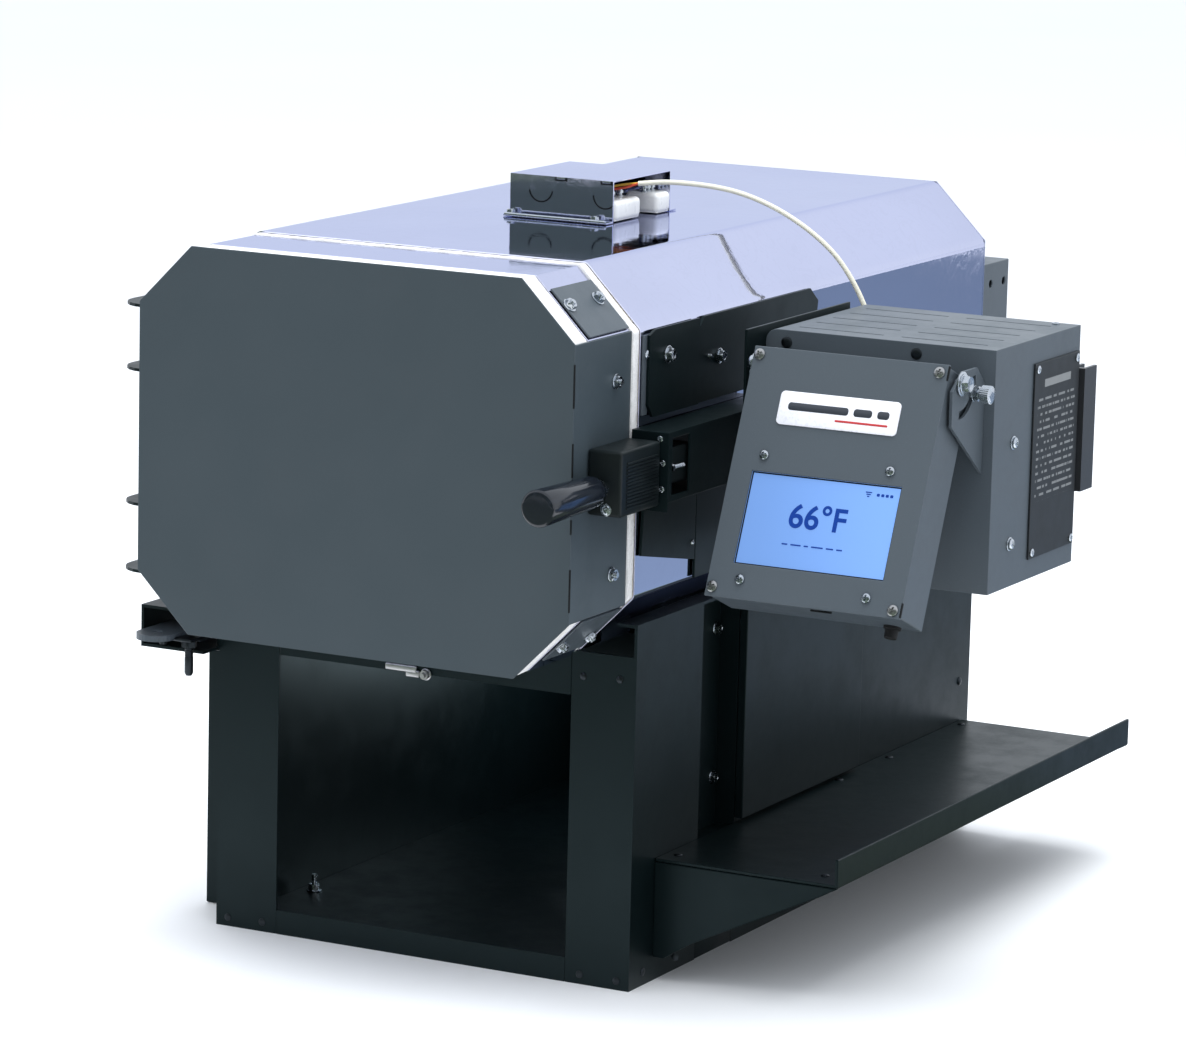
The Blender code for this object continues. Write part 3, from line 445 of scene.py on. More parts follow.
def firebrick(name, colour):
    """Insulating brick, 115 mm by 64 mm courses with thin joints, pores and crumbs."""
    brick = Finish(name, colour, 0.97)
    x, y, z = brick.axes()
    depth_joint = (y + 0.009) % 0.115 < 0.0012
    course_joint = (z + 0.017) % 0.0640 < 0.0010
    joint = brick.math("MAXIMUM", depth_joint, course_joint)
    pores = brick.between(brick.cells(330), 0.10, 0.34, 1.0, 0.0)
    crumbs = brick.noise(520, 4, 0.7)
    tone = brick.blend(brick.noise(14, 3), scaled(colour, 0.90), scaled(colour, 1.06))
    pitted = brick.blend(pores * 0.55, tone, scaled(colour, 0.52))
    brick.set("Base Color", brick.blend(joint, pitted, scaled(colour, 0.42)))
    brick.bump(crumbs - pores * 0.9 - joint * 2.0, 0.8, 0.0007)
    return brick.material


def plated(name, colour, roughness, tint):
    """Bright plating on steel: a tinted sheen in patches, fine turning marks and dull spots."""
    metal = Finish(name, colour, roughness, metallic=1.0)
    patches = metal.between(metal.noise(110, 3), 0.4, 0.65)
    dull = metal.between(metal.noise(800, 3, 0.7), 0.5, 0.8)
    metal.set("Base Color", metal.blend(patches * 0.5, colour, tint))
    metal.set("Roughness", roughness + dull * 0.22)
    metal.bump(metal.noise(2200, 2), 0.18, 0.00004)
    return metal.material


def glazed(name, colour, speck):
    """White glazed ceramic with a soft ripple and a few iron specks."""
    china = Finish(name, colour, 0.24, coat_weight=0.3, coat_roughness=0.1)
    spots = china.between(china.cells(260), 0.03, 0.12, 1.0, 0.0)
    tone = china.blend(china.noise(60, 3), scaled(colour, 0.93), colour)
    china.set("Base Color", china.blend(spots * 0.5, tone, speck))
    china.set("Roughness", 0.22 + china.noise(150, 2) * 0.14)
    china.bump(china.noise(300, 2), 0.2, 0.00015)
    return china.material


def gloss_plastic(name, colour):
    """Hard polished plastic: faint long scratches and finger marks in the gloss."""
    plastic = Finish(name, colour, 0.16, specular_ior_level=0.6)
    scratches = plastic.between(plastic.noise(260, 4, 0.7, 0.0, (1.0, 0.06, 1.0)), 0.52, 0.80)
    marks = plastic.between(plastic.noise(38, 3), 0.5, 0.75)
    plastic.set("Base Color", plastic.blend(scratches * 0.5, colour, scaled(colour, 3.0)))
    plastic.set("Roughness", 0.12 + marks * 0.12 + scratches * 0.15)
    plastic.bump(plastic.noise(700, 2), 0.08, 0.00005)
    return plastic.material


def moulded_plastic(name, colour, roughness=0.5):
    """Spark-textured black moulding, a little paler where it is rubbed."""
    plastic = Finish(name, colour, roughness, specular_ior_level=0.3)
    rubbed = plastic.between(plastic.noise(55, 4, 0.65), 0.48, 0.78)
    plastic.set("Base Color", plastic.blend(rubbed * 0.6, colour, scaled(colour, 1.9)))
    plastic.set("Roughness", roughness - 0.08 + rubbed * 0.15)
    plastic.bump(plastic.noise(1500, 2, 0.6), 0.5, 0.00009)
    return plastic.material


def braided(name, colour, gap_colour):
    """Glass braid on the piece's own map: two sets of slanting strands that pass over and under."""
    sleeve = Finish(name, colour, 0.72, sheen_weight=0.2)
    turn, along = sleeve.wrapped()
    first = sleeve.math("SINE", (turn * 8 + along / 1.1) * (2 * math.pi))
    second = sleeve.math("SINE", (turn * 8 - along / 1.1) * (2 * math.pi))
    strands = sleeve.math("MAXIMUM", first, second) * 0.5 + 0.5
    dirt = sleeve.between(sleeve.noise(90, 4, 0.7), 0.5, 0.8)
    woven = sleeve.blend(sleeve.between(strands, 0.35, 0.8), gap_colour, colour)
    sleeve.set("Base Color", sleeve.blend(dirt * 0.3, woven, scaled(colour, 0.7)))
    sleeve.bump(strands, 0.6, 0.0002)
    return sleeve.material


def wound_wire(name, colour):
    """Resistance wire with a grey oxide skin, browner where it has been hottest."""
    wire = Finish(name, colour, 0.6, metallic=0.6)
    oxide = wire.between(wire.noise(70, 4, 0.65), 0.4, 0.7)
    wire.set("Base Color", wire.blend(oxide, colour, (0.17, 0.11, 0.07)))
    wire.set("Roughness", 0.48 + oxide * 0.3)
    wire.bump(wire.noise(1800, 3), 0.4, 0.00008)
    return wire.material


def lit_screen(name, colour):
    """A lit panel behind clear glass: an even pale glow, a touch deeper towards its lower edge."""
    panel = Finish(name, scaled(colour, 0.25), 0.07, coat_weight=0.6, coat_roughness=0.03)
    x, _, z = panel.axes()
    low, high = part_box("touch_screen")
    level = panel.between(x + z * 0.25, low.x + low.z * 0.25, high.x + high.z * 0.25, 0.0, 1.0)
    panel.set("Emission Color", panel.blend(level, scaled(colour, 0.66), colour))
    panel.set("Emission Strength", 1.0)
    panel.set("Roughness", 0.05 + panel.between(panel.noise(60, 3), 0.5, 0.8) * 0.08)
    return panel.material


def circuit(name):
    """Solder mask over copper: runs of track in both directions and bright pads."""
    board = Finish(name, (0.02, 0.16, 0.07), 0.35)
    x, _, z = board.axes()
    upright = board.math("MULTIPLY", x % 0.0045 < 0.0009, board.noise(60, 1) > 0.48)
    level = board.math("MULTIPLY", z % 0.0052 < 0.0009, board.noise(48, 1) > 0.5)
    tracks = board.math("MAXIMUM", upright, level)
    pads = board.cells(210) < 0.12
    masked = board.blend(tracks * 0.8, (0.02, 0.16, 0.07), (0.05, 0.30, 0.12))
    board.set("Base Color", board.blend(pads, masked, (0.7, 0.68, 0.62)))
    board.set("Metallic", pads)
    board.bump(tracks + pads, 0.4, 0.0001)
    return board.material


def rated_plate(name):
    """A dark rating plate, with pale rows of plain dashes that hold no letters."""
    dark, pale = (0.014, 0.016, 0.018), (0.30, 0.31, 0.31)
    plate = Finish(name, dark, 0.42, specular_ior_level=0.3)
    _, y, z = plate.axes()
    low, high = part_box("data_plate")
    row = (z - low.z) / 0.0047
    in_row = abs(row % 1 - 0.5) < 0.17
    word = plate.node("ShaderNodeTexNoise", {"noise_dimensions": "2D"}, {
        "Vector": plate.node("ShaderNodeCombineXYZ", None, {
            0: (y - low.y) * 300, 1: plate.math("FLOOR", row) * 7.3
        }).outputs[0],
        "Scale": 1.0, "Detail": 0.0,
    })
    inked = plate.math("GREATER_THAN", word.outputs["Fac"], 0.46)
    left = y > low.y + 0.006
    right = y < high.y - 0.006
    body = (z > low.z + 0.036) * (z < high.z - 0.022)
    ink = in_row * inked * left * right * body
    wide = (z > high.z - 0.0165) * (z < high.z - 0.0115) * (y > low.y + 0.016) * (y < high.y - 0.014)
    marked = plate.math("MAXIMUM", ink * 0.5, wide * 0.6)
    plate.set("Base Color", plate.blend(marked, dark, pale))
    plate.set("Roughness", 0.34 + plate.noise(80, 3) * 0.16)
    plate.bump(plate.noise(900, 2), 0.15, 0.00004)
    return plate.material


def printed(name, colour, roughness=0.5, glow=0.0, gloss=0.5):
    """A printed or painted mark with a slightly uneven lay of ink."""
    ink = Finish(name, colour, roughness, specular_ior_level=gloss)
    uneven = ink.noise(500, 3)
    tone = ink.blend(uneven, scaled(colour, 0.88), scaled(colour, 1.08))
    ink.set("Base Color", tone)
    ink.set("Roughness", roughness - 0.05 + uneven * 0.1)
    if glow:
        ink.set("Emission Color", tone)
        ink.set("Emission Strength", glow)
    return ink.material


def floor_finish():
    ground = Finish("pale_floor", (0.93, 0.93, 0.94), 0.6)
    ground.set("Base Color", ground.blend(ground.noise(2, 2), (0.92, 0.92, 0.93), (0.95, 0.95, 0.955)))
    return ground.material


SLATE = powder_coat("slate_powder", (0.042, 0.057, 0.067), 0.46, cloud=0.06, gloss=0.4)
GREY = powder_coat("grey_powder", (0.062, 0.076, 0.089), 0.42, 1100, 0.00008, 0.06, 0.4)
BLACK = powder_coat(
    "black_powder", (0.0030, 0.0064, 0.0072), 0.40, 1000, 0.00006, 0.06, 0.22, (0.72, 0.95, 1.0)
)
MIRROR = mirror_sheet("mirror_sheet", (0.66, 0.675, 0.83), (0.665, 0.695, 0.83), waviness=0.8)
FIBRE = fibre_board("fibre_board", (0.80, 0.79, 0.78), (0.62, 0.56, 0.47))
BRICK = firebrick("firebrick", (0.74, 0.66, 0.53))
ZINC = plated("zinc_plate", (0.55, 0.58, 0.62), 0.20, (0.46, 0.52, 0.58))
STEEL = plated("plain_screw_steel", (0.46, 0.46, 0.46), 0.30, (0.36, 0.36, 0.37))
DARK_SCREW = plated("dark_screw", (0.040, 0.046, 0.052), 0.40, (0.026, 0.030, 0.034))
PORCELAIN = glazed("porcelain", (0.86, 0.86, 0.84), (0.45, 0.38, 0.30))
HANDLE_BLACK = gloss_plastic("handle_black", (0.006, 0.008, 0.012))
MOULDED = moulded_plastic("moulded_black", (0.0050, 0.0080, 0.0088))
RUBBER = moulded_plastic("rubber_black", (0.008, 0.008, 0.009), 0.75)
SLEEVE = braided("glass_sleeve", (0.80, 0.78, 0.66), (0.50, 0.47, 0.36))
COIL = wound_wire("oxidised_wire", (0.16, 0.15, 0.145))
SCREEN = lit_screen("lit_screen", (0.20, 0.385, 0.83))
BOARD = circuit("circuit_board")
PLATE = rated_plate("rating_plate")
ALUMINIUM = powder_coat("black_anodised", (0.018, 0.019, 0.021), 0.38, 1600, 0.00003)
READ_OUT = printed("read_out_blue", (0.006, 0.032, 0.19), 0.5, 0.35, 0.08)
LABEL_WHITE = printed("label_white", (0.74, 0.74, 0.78), 0.28)
LABEL_DARK = printed("label_dark", (0.03, 0.035, 0.045), 0.35)
LABEL_RED = printed("label_red", (0.45, 0.03, 0.03), 0.35)
WIRE_RED = printed("wire_red", (0.60, 0.07, 0.03), 0.5)
WIRE_YELLOW = printed("wire_yellow", (0.80, 0.46, 0.05), 0.5)
SHADOW_GAP = moulded_plastic("shadow_gap", (0.004, 0.005, 0.006), 0.8)


# ---- fasteners ---------------------------------------------------------------------------------
def pan_head(radius, height, spin=0.0):
    """A domed cross-slot head: height falls as an ellipse to the rim, less a tapering cross in the middle."""
    turn, share = angles(32), np.linspace(1, 0.04, 11)
    dome = height * (0.35 + 0.65 * np.sqrt(1 - (0.97 * share) ** 2))
    x, y = share[:, None] * np.cos(turn), share[:, None] * np.sin(turn)
    arm_x = np.clip((0.15 - abs(y)) / 0.06, 0, 1) * np.clip((0.62 - abs(x)) / 0.14, 0, 1)
    arm_y = np.clip((0.15 - abs(x)) / 0.06, 0, 1) * np.clip((0.62 - abs(y)) / 0.14, 0, 1)
    rise = dome[:, None] - 0.55 * height * np.maximum(arm_x, arm_y)
    head = np.stack([radius * x, radius * y, rise], -1)
    foot = lathe([(0, radius), (0.25 * height, radius)], 32)
    return aimed(np.concatenate([foot, head]), (0, 0, 0), (0, 0, 1), spin)


def hex_head(flats, height):
    """A hexagon with a bevelled top: its radius is the hexagon's, or the bevel cone's where that is less."""
    turn = angles(48)
    profile = [(0, 2.0), (height * 0.80, 2.0), (height, 1.0)]
    rings = []
    for rise, cone in profile:
        reach = np.minimum(hexagon(turn) * flats / 2, flats / 2 * (1.0 + 0.155 * (cone - 1)))
        rings.append(np.stack([reach * np.cos(turn), reach * np.sin(turn), np.full_like(turn, rise)], -1))
    dished = lathe([(height, flats * 0.34), (height - 0.25, flats * 0.30)], 48)
    return np.concatenate([np.array(rings), dished])


def washer(radius, thickness):
    edge = [(0, 0.97), (0.15, 1), (0.8, 1), (1, 0.93)]
    return lathe([(rise * thickness, reach * radius) for rise, reach in edge], 32)


def dome(radius, height):
    """A rivet head: quarter of an ellipse, turned."""
    rise = np.linspace(0, np.pi / 2 * 0.94, 7)
    return lathe([(0, radius), *zip(height * (0.12 + 0.88 * np.sin(rise)), radius * np.cos(rise))], 24)


def threaded(radius, length, pitch=1.0):
    """A screw thread: the radius rises and falls once for each pitch, carried round by the angle."""
    turn, rise = angles(20), np.linspace(0, length, max(int(length / pitch * 6), 8))
    phase = (rise[:, None] / pitch - turn[None, :] / (2 * np.pi)) % 1
    reach = radius * (1 - 0.14 * abs(2 * phase - 1))
    height = np.broadcast_to(rise[:, None], reach.shape)
    return np.stack([reach * np.cos(turn), reach * np.sin(turn), height], -1)


def bolt(shape, centre, axis, flats=9.0, washer_radius=6.2, height=4.0, spin=10.0, stud=0.0):
    """A washer, a hexagon on it, and a stud's end where it has one."""
    axis = np.array(axis, float) / np.linalg.norm(axis)
    centre = np.array(centre, float)
    shape.put(washer(washer_radius, 1.1), centre, axis)
    shape.put(hex_head(flats, height), centre + axis * 1.1, axis, spin)
    if stud:
        shape.put(threaded(flats * 0.27, stud), centre + axis * (height + 0.9), axis)


def fasteners():
    """Every screw, rivet and bolt that holds the still parts and the door together."""
    case_low, case_high = node_box("control_case")
    stand_low, stand_high = node_box("stand_panel_right")
    bright, dark = Shape(), Shape()
    for y, z in ((205.5, 360), (205.4, 295.7)):
        bright.put(washer(4.4, 0.7), (case_high[0], y, z), RIGHT)
        bright.put(pan_head(3.6, 2.4, 20), (case_high[0] + 0.7, y, z), RIGHT)
    plate_low, plate_high = node_box("data_plate")
    for y in (plate_low[1] + 4.5, plate_high[1] - 4.5):
        for z in (plate_low[2] + 4.0, plate_high[2] - 4.0):
            bright.put(pan_head(2.7, 1.5, y), (plate_high[0], y, z), RIGHT)
    bright.put(pan_head(2.6, 1.4, 15), (case_high[0] - 14.5, case_high[1] - 7, case_high[2]), UP)
    for x, z in ((case_low[0] + 14.7, 414), (case_low[0] + 104, 415)):
        dark.put(dome(3.7, 1.7), (x, case_low[1], z), FRONT)
    front = stand_low[1]
    posts = [(145, 6), (118.5, 6.5), (116.4, 201), (142.4, 202)]
    for side in (-1, 1):
        for x, z in posts:
            dark.put(dome(2.5, 1.0), (side * x, front, z), FRONT)
    fold = stand_high[0] - 14
    for z in (211, 111.2):
        bright.put(washer(4.6, 0.8), (fold, 236.5, z), RIGHT)
        bright.put(hex_head(6.4, 3.0), (fold + 0.8, 236.5, z), RIGHT, 12)
    tray_low, _ = node_box("side_tray")
    tray_top = tray_low[2] + 2
    for x, y in ((163, 144.5), (265.6, 147.6), (161.2, 391), (161.2, 472), (161.2, 596), (268, 592)):
        dark.put(dome(2.8, 1.2), (x, y, tray_top), UP)
    dark.put(dome(2.6, 0.9), (170.5, tray_low[1], 18.2), FRONT)
    floor_top = node_box("stand_floor")[0][2] + 2
    bolt(bright, (-149 + 9, 200, floor_top), UP, 7.0, 5.2, 4.0, 12, 7)
    gusset_face = node_box("corner_gusset")[1][0]
    bright.put(pan_head(3.2, 2.0, 30), (gusset_face, 88.4, 412), RIGHT)
    side_face = node_box("latch_side_plate")[1][0]
    bolt(bright, (side_face, 112.5, 409.3), RIGHT, 7.6, 5.6, 3.4, 8)
    trough = node_box("control_mount")[0][0] + 2
    bolt(bright, (trough, 187.5, 399), RIGHT, 6.8, 5.0, 3.2, 14)
    bright.put(threaded(1.5, 2.6), (trough, 173.5, 400.6), RIGHT)
    bright.put(dome(1.9, 1.2), (node_box("latch_receiver")[0][0] + 2, 156.5, 282.8), RIGHT)
    nose_low, nose_high = node_box("latch_receiver")
    for x, z in ((178.4, 362.8), (180.6, 347.8), (180.2, 331.4)):
        bright.put(pan_head(2.0, 1.2, z), (x, nose_low[1], z), FRONT)
    inside = (nose_high[0] - 2.4, 80.5, 344)
    bright.put(threaded(1.7, 12), inside, (0.25, 1, 0.05))
    bright.put(hex_head(5.0, 2.0), inside, (0.25, 1, 0.05))
    cover_low, cover_high = node_box("rear_cover")
    for side in (-1, 1):
        for z in (cover_low[2] + 14, cover_high[2] - 14):
            bright.put(pan_head(3.4, 2.0, 40), (side * (cover_high[0] - 12), cover_high[1], z), BACK)
    for z in (20, 110, 196):
        for side in (-1, 1):
            dark.put(dome(3.0, 1.3), (side * 140, stand_high[1], z), BACK)
            dark.put(dome(3.0, 1.3), (side * stand_high[0], 606, z), (side, 0, 0))
    for side in (-1, 1):
        dark.put(dome(2.8, 1.0), (side * stand_high[0], 116, 9), (side, 0, 0))
    for node in ("hinge_bracket_upper", "hinge_bracket_lower"):
        low, high = node_box(node)
        for y in (108, 136):
            bolt(dark, (high[0] - 2, y, (low[2] + high[2]) / 2), LEFT, 8.0, 6.0, 4.0, 10)
    bright.piece("screws_bright", ZINC, "root", "zinc_plate")
    dark.piece("rivets_dark", DARK_SCREW, "root", "black_paint")


DOOR_SLITS = [(389.2, 416.1), (346.6, 367.5), (311.3, 320.6), (262.8, 289.5)]
CORNER_RUN = 38


def flange_screw(shape, centre, axis, spin, end):
    """A washer, a hexagon on it and a short threaded end."""
    axis = np.array(axis, float)
    shape.put(washer(4.8, 0.8), centre, axis)
    shape.put(hex_head(7.0, 2.6), centre + axis * 0.8, axis, spin)
    shape.put(threaded(1.9, end), centre + axis * 3.2, axis)




def door_screws():
    """Flange screws at both sides of the door and the screws of the corner tabs."""
    low, high = node_box("door_plate")
    screws = Shape()
    for side in (-1, 1):
        for z in (399, 278):
            flange_screw(screws, np.array([side * high[0], 54.5, z]), (side, 0, 0), 18, 1.6)
    for up, edge in ((1, high[2]), (-1, low[2])):
        outward = np.array([HALF_ROOT, 0, up * HALF_ROOT])
        down_slope = np.array([HALF_ROOT, 0, -up * HALF_ROOT])
        for y in (27, 64):
            corner = np.array([high[0] - CORNER_RUN, y, edge])
            flange_screw(screws, corner + outward * 0.35 + down_slope * 26.5, outward, y, 1.4)
    block_low, _ = node_box("latch_housing")
    centre = (169.9, block_low[1], 325.6)
    screws.put(washer(3.9, 0.5), centre, FRONT)
    screws.put(pan_head(3.3, 2.0, 25), (centre[0], centre[1] - 0.5, centre[2]), FRONT)
    screws.piece("door_screws", ZINC, "door", "zinc_plate")
    # The fold's relief slits are thin near-black blocks: painted shade standing for the dark inside of each slit.
    slits = Shape()
    for bottom, top in DOOR_SLITS:
        slits.block((high[0] - 0.6, low[1] - 0.12, bottom), (high[0] + 0.12, low[1] + 1.3, top), 0.1, 2)
    slits.piece("fold_slits", SHADOW_GAP, "door", "slate_paint")


# ---- body --------------------------------------------------------------------------------------
def octagon_loop(half, low, high, chamfer, fold, steps=5):
    """An octagon's outline, counter-clockwise from its right side, its corners rounded by the fold."""
    corners = np.array([
        (half, low + chamfer), (half, high - chamfer), (half - chamfer, high), (chamfer - half, high),
        (-half, high - chamfer), (-half, low + chamfer), (chamfer - half, low), (half - chamfer, low),
    ])
    before, after = np.roll(corners, 1, 0) - corners, np.roll(corners, -1, 0) - corners
    before /= np.linalg.norm(before, axis=1)[:, None]
    after /= np.linalg.norm(after, axis=1)[:, None]
    cut = fold * math.tan(math.radians(22.5))
    share = np.linspace(0, 1, steps + 1)[None, :, None]
    start, end = (corners + before * cut)[:, None], (corners + after * cut)[:, None]
    middle = corners[:, None]
    return ((1 - share) ** 2 * start + 2 * share * (1 - share) * middle + share**2 * end).reshape(-1, 2)


def resampled(outline, count):
    """Points evenly spaced round a closed outline, starting at its first point."""
    ring = np.vstack([outline, outline[:1]])
    walked = walked_along(ring)
    even = np.linspace(0, walked[-1], count, endpoint=False)
    return np.stack([np.interp(even, walked, ring[:, i]) for i in range(2)], -1)


def inward(ring):
    """The direction towards the inside at each point of a closed outline."""
    along = np.roll(ring, -1, 0) - np.roll(ring, 1, 0)
    normal = np.stack([-along[:, 1], along[:, 0]], -1)
    return normal / np.linalg.norm(normal, axis=1)[:, None]


def body_sheet():
    """The mirror wrap: an octagon with folded corners carried back, pressed in up to 0.2 mm in waves."""
    low, high = node_box("body_wrap")
    outline = octagon_loop(high[0], low[2], high[2], 39, 5.0)
    ring = resampled(outline, 440)
    depth = np.linspace(low[1], high[1], 46)
    turn = angles(len(ring))
    rows = []
    for inset in (0.0, 0.8):
        press = np.zeros((len(depth), len(ring)))
        for row, y in enumerate(depth):
            edge = min(1.0, (y - low[1]) / 40, (high[1] - y) / 40)
            slow = wander(turn + 0.004 * y, 3, 7, 3) + wander(turn - 0.011 * y, 8, 5, 2)
            press[row] = np.clip(0.09 + 0.05 * slow, 0, 0.2) * edge
        inner = ring[None] + inward(ring)[None] * (press + inset)[..., None]
        skin = np.stack([inner[..., 0], np.broadcast_to(depth[:, None], press.shape), inner[..., 1]], -1)
        rows.append(skin if inset == 0 else skin[::-1])
    grid = np.concatenate(rows)
    sheet = Shape()
    sheet.add(grid, quads(len(grid), len(ring), round_again=True)[:, ::-1])
    made = sheet.piece("mirror_wrap", MIRROR, "root", "mirror_steel", 50)
    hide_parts("body_wrap")


def fibre_slab(name, node, seed, body):
    """A slab of board with a soft outer edge, rounded over and eaten by fine random waves."""
    low, high = node_box(node)
    ring = resampled(octagon_loop(high[0], low[2], high[2], 37.3, 1.5), 560)
    turn = angles(len(ring))
    rows = []
    thickness = high[1] - low[1]
    steps = [(0.0, 9.0), (0.0, 2.2), (0.0, 1.0), (0.06, 0.35), (0.3, 0.1),
             (0.6, 0.1), (0.94, 0.35), (1.0, 1.0), (1.0, 2.2), (1.0, 9.0)]
    for row, (share, inset) in enumerate(steps):
        rough = 0.18 + 0.16 * wander(turn, seed + row, 120, 12) + 0.12 * wander(turn, seed + 40, 60, 5)
        depth = inset + np.clip(rough, 0, 0.9) * (inset < 5)
        inner = ring + inward(ring) * depth[:, None]
        lift = low[1] + thickness * share + np.zeros(len(ring))
        rows.append(np.stack([inner[:, 0], lift, inner[:, 1]], -1))
    grid = np.array(rows)[:, ::-1]
    slab = Shape()
    slab.grid(grid)
    made = slab.piece(name, FIBRE, body, "ceramic_fibre", 80)
    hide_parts(node)


def gasket():
    """The fibre face round the chamber's mouth: an octagon outside, the mouth inside, soft at both edges."""
    low, high = node_box("front_gasket")
    outer = resampled(octagon_loop(high[0], low[2], high[2], 39, 1.5), 600)
    mouth_low, mouth_high = np.array([-88.5, 283.0]), np.array([88.5, 403.0])
    turn = np.arctan2(outer[:, 1] - 343.25, outer[:, 0])
    reach = np.minimum(88.5 / np.maximum(abs(np.cos(turn)), 1e-6), 60.0 / np.maximum(abs(np.sin(turn)), 1e-6))
    hole = np.stack([reach * np.cos(turn), 343.0 + reach * np.sin(turn)], -1)
    hole = np.clip(hole, mouth_low, mouth_high)
    rows = []
    front, rear = low[1], high[1]
    path = [(0.05, 0.25), (0.5, 0.1), (0.95, 0.25), (1.0, 1.0), (1.0, 3.0)]
    for row, (share, inset) in enumerate(path):
        rough = 0.16 + 0.15 * wander(turn, 60 + row, 120, 12)
        eaten = (inset + np.clip(rough, 0, 0.7))[:, None]
        rows.append((outer + inward(outer) * eaten, front + (rear - front) * share))
    rows.append((hole, rear))
    rows.append((hole, front))
    for row, inset in enumerate((3.0, 1.0)):
        rough = 0.16 + 0.15 * wander(turn, 80 + row, 120, 12)
        rows.append((outer + inward(outer) * (inset + np.clip(rough, 0, 0.7))[:, None], front))
    grid = np.array([np.stack([ring[:, 0], np.full(len(ring), y), ring[:, 1]], -1) for ring, y in rows])
    face = Shape()
    face.add(grid, quads(len(grid), grid.shape[1], round_again=True)[:, ::-1])
    made = face.piece("gasket_face", FIBRE, "root", "ceramic_fibre", 60)
    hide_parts("front_gasket")


def heating_coil(side):
    """A helix wound round a route of four grooves, with straight tails out through the rear wall."""
    tag = "right" if side > 0 else "left"
    low, high = node_box("heating_element_" + tag)
    radius = 3.6
    x = (low[0] + high[0]) / 2
    rows = np.linspace(low[2] + radius, high[2] - radius, 4)
    near, far, end = low[1] + radius + 4, 514.0, high[1]
    swing = np.linspace(0, np.pi, 13)
    route = [[end, rows[0]], [near, rows[0]]]
    for at, direction, first in ((near, -1, 0), (far, 1, 1), (near, -1, 2)):
        middle, reach = (rows[first] + rows[first + 1]) / 2, (rows[first + 1] - rows[first]) / 2
        route += list(np.stack([at + direction * 4 * np.sin(swing), middle - reach * np.cos(swing)], -1))
    route += [[end, rows[3]]]
    route = np.array(route)
    walked = walked_along(route)
    pitch, per_turn = 3.6, 9
    even = np.linspace(0, walked[-1], int(walked[-1] / pitch * per_turn))
    along, up = (np.interp(even, walked, route[:, i]) for i in range(2))
    line = np.stack([np.full(len(even), x), along, up], -1)
    across, third = frames_along(line, np.array([1.0, 0, 0]))
    tail = np.clip((np.minimum(even, walked[-1] - even) - 96) / 14, 0, 1)
    turn = 2 * np.pi * even / pitch
    wound = (radius - 0.75) * tail
    coil = line + across * (wound * np.cos(turn))[:, None] + third * (wound * np.sin(turn))[:, None]
    shape = Shape()
    shape.grid(*tube(coil, 0.72, 5, (1.0, 0.02, 0.01)))
    made = shape.piece("heating_coil_" + tag, COIL, "root", "element_wire", 80)
    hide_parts("heating_element_" + tag)


# ---- top box and sensor ------------------------------------------------------------------------
LEAD_ROUTE = [
    (49, 287, 491), (70, 292, 493), (97, 298, 491.8), (119, 304, 487.4),
    (141, 309.5, 478.6), (162, 314, 466), (179, 317.6, 451.4), (191.5, 320, 434.6), (201, 321.4, 416.4),
    (208, 321.2, 398), (213.6, 319, 383), (219, 314.6, 373.2), (221, 309.6, 371.5),
]
LEAD_DIAMETER = 3.4


def sensor_lead():
    """The braided lead, in an arch from the terminals to the back of the control case."""
    path = through(LEAD_ROUTE, 120)
    shape = Shape()
    shape.grid(*tube(path, LEAD_DIAMETER / 2, 16))
    lead = shape.piece("sensor_lead", SLEEVE, "root", "glass_sleeve", 60)
    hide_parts("thermocouple_lead")
    collar = Shape()
    entry = np.array([221, node_box("control_case")[1][1], 371.5])
    collar.put(lathe([(0, 6.4), (0.4, 6.8), (1.6, 6.8), (2.6, 5.0), (3.4, 2.7)], 32), entry, (0, 1, 0.05))
    collar.piece("lead_grommet", RUBBER, "root", "moulded_plastic")


def terminal_block(name, low, high, replaced=None):
    """A round-cornered ceramic block with a row of three plated posts, each with a clamp nut and a screw."""
    low, high = np.array(low, float), np.array(high, float)
    block = Shape()
    block.block(low, high, 3.4, 6)
    groove = low[2] + 0.9
    block.block(low + (1.2, 1.2, 0), (high[0] - 1.2, high[1] - 1.2, groove + 1.4), 0.6, 3)
    made = block.piece(name, PORCELAIN, "root", "porcelain")
    if replaced:
        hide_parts(replaced)
    posts = Shape()
    middle, span = (low[0] + high[0]) / 2, high[1] - low[1]
    for share in (0.2, 0.5, 0.8):
        foot = (middle, low[1] + share * span, high[2] - 0.2)
        posts.put(lathe([(0, 2.6), (0.8, 2.6), (1.0, 1.7), (3.0, 1.7)], 24), foot, UP)
        posts.put(hex_head(4.4, 1.8), (foot[0], foot[1], foot[2] + 2.2), UP, 50 * share)
        posts.put(pan_head(1.9, 1.3, 30 * share), (foot[0], foot[1], foot[2] + 4.0), UP)
    posts.piece(name + "_posts", ZINC, "root", "zinc_plate")


def sensor_wires():
    """A red and a yellow wire fanned from the sleeve's end to the block's screws."""
    _, block_high = node_box("terminal_block_front")
    top = block_high[2] + 4.6
    start = np.array(LEAD_ROUTE[0])
    wires = ("wire_red", WIRE_RED, 269.5, -1.0), ("wire_yellow", WIRE_YELLOW, 280.5, 0.9)
    for name, finish, y, drop in wires:
        route = [start + (5, 0.6, 0.6), start, (41, 285 + drop, 489.2 + drop), (30, 281 + drop, 487 + drop),
                 (24, y + 2, 485.6 + drop), (27, y, top + 0.6), (33.5, y, top)]
        wire = Shape()
        wire.grid(*tube(through(route, 40), 0.85, 10))
        wire.piece(name, finish, "root", "glass_sleeve", 60)


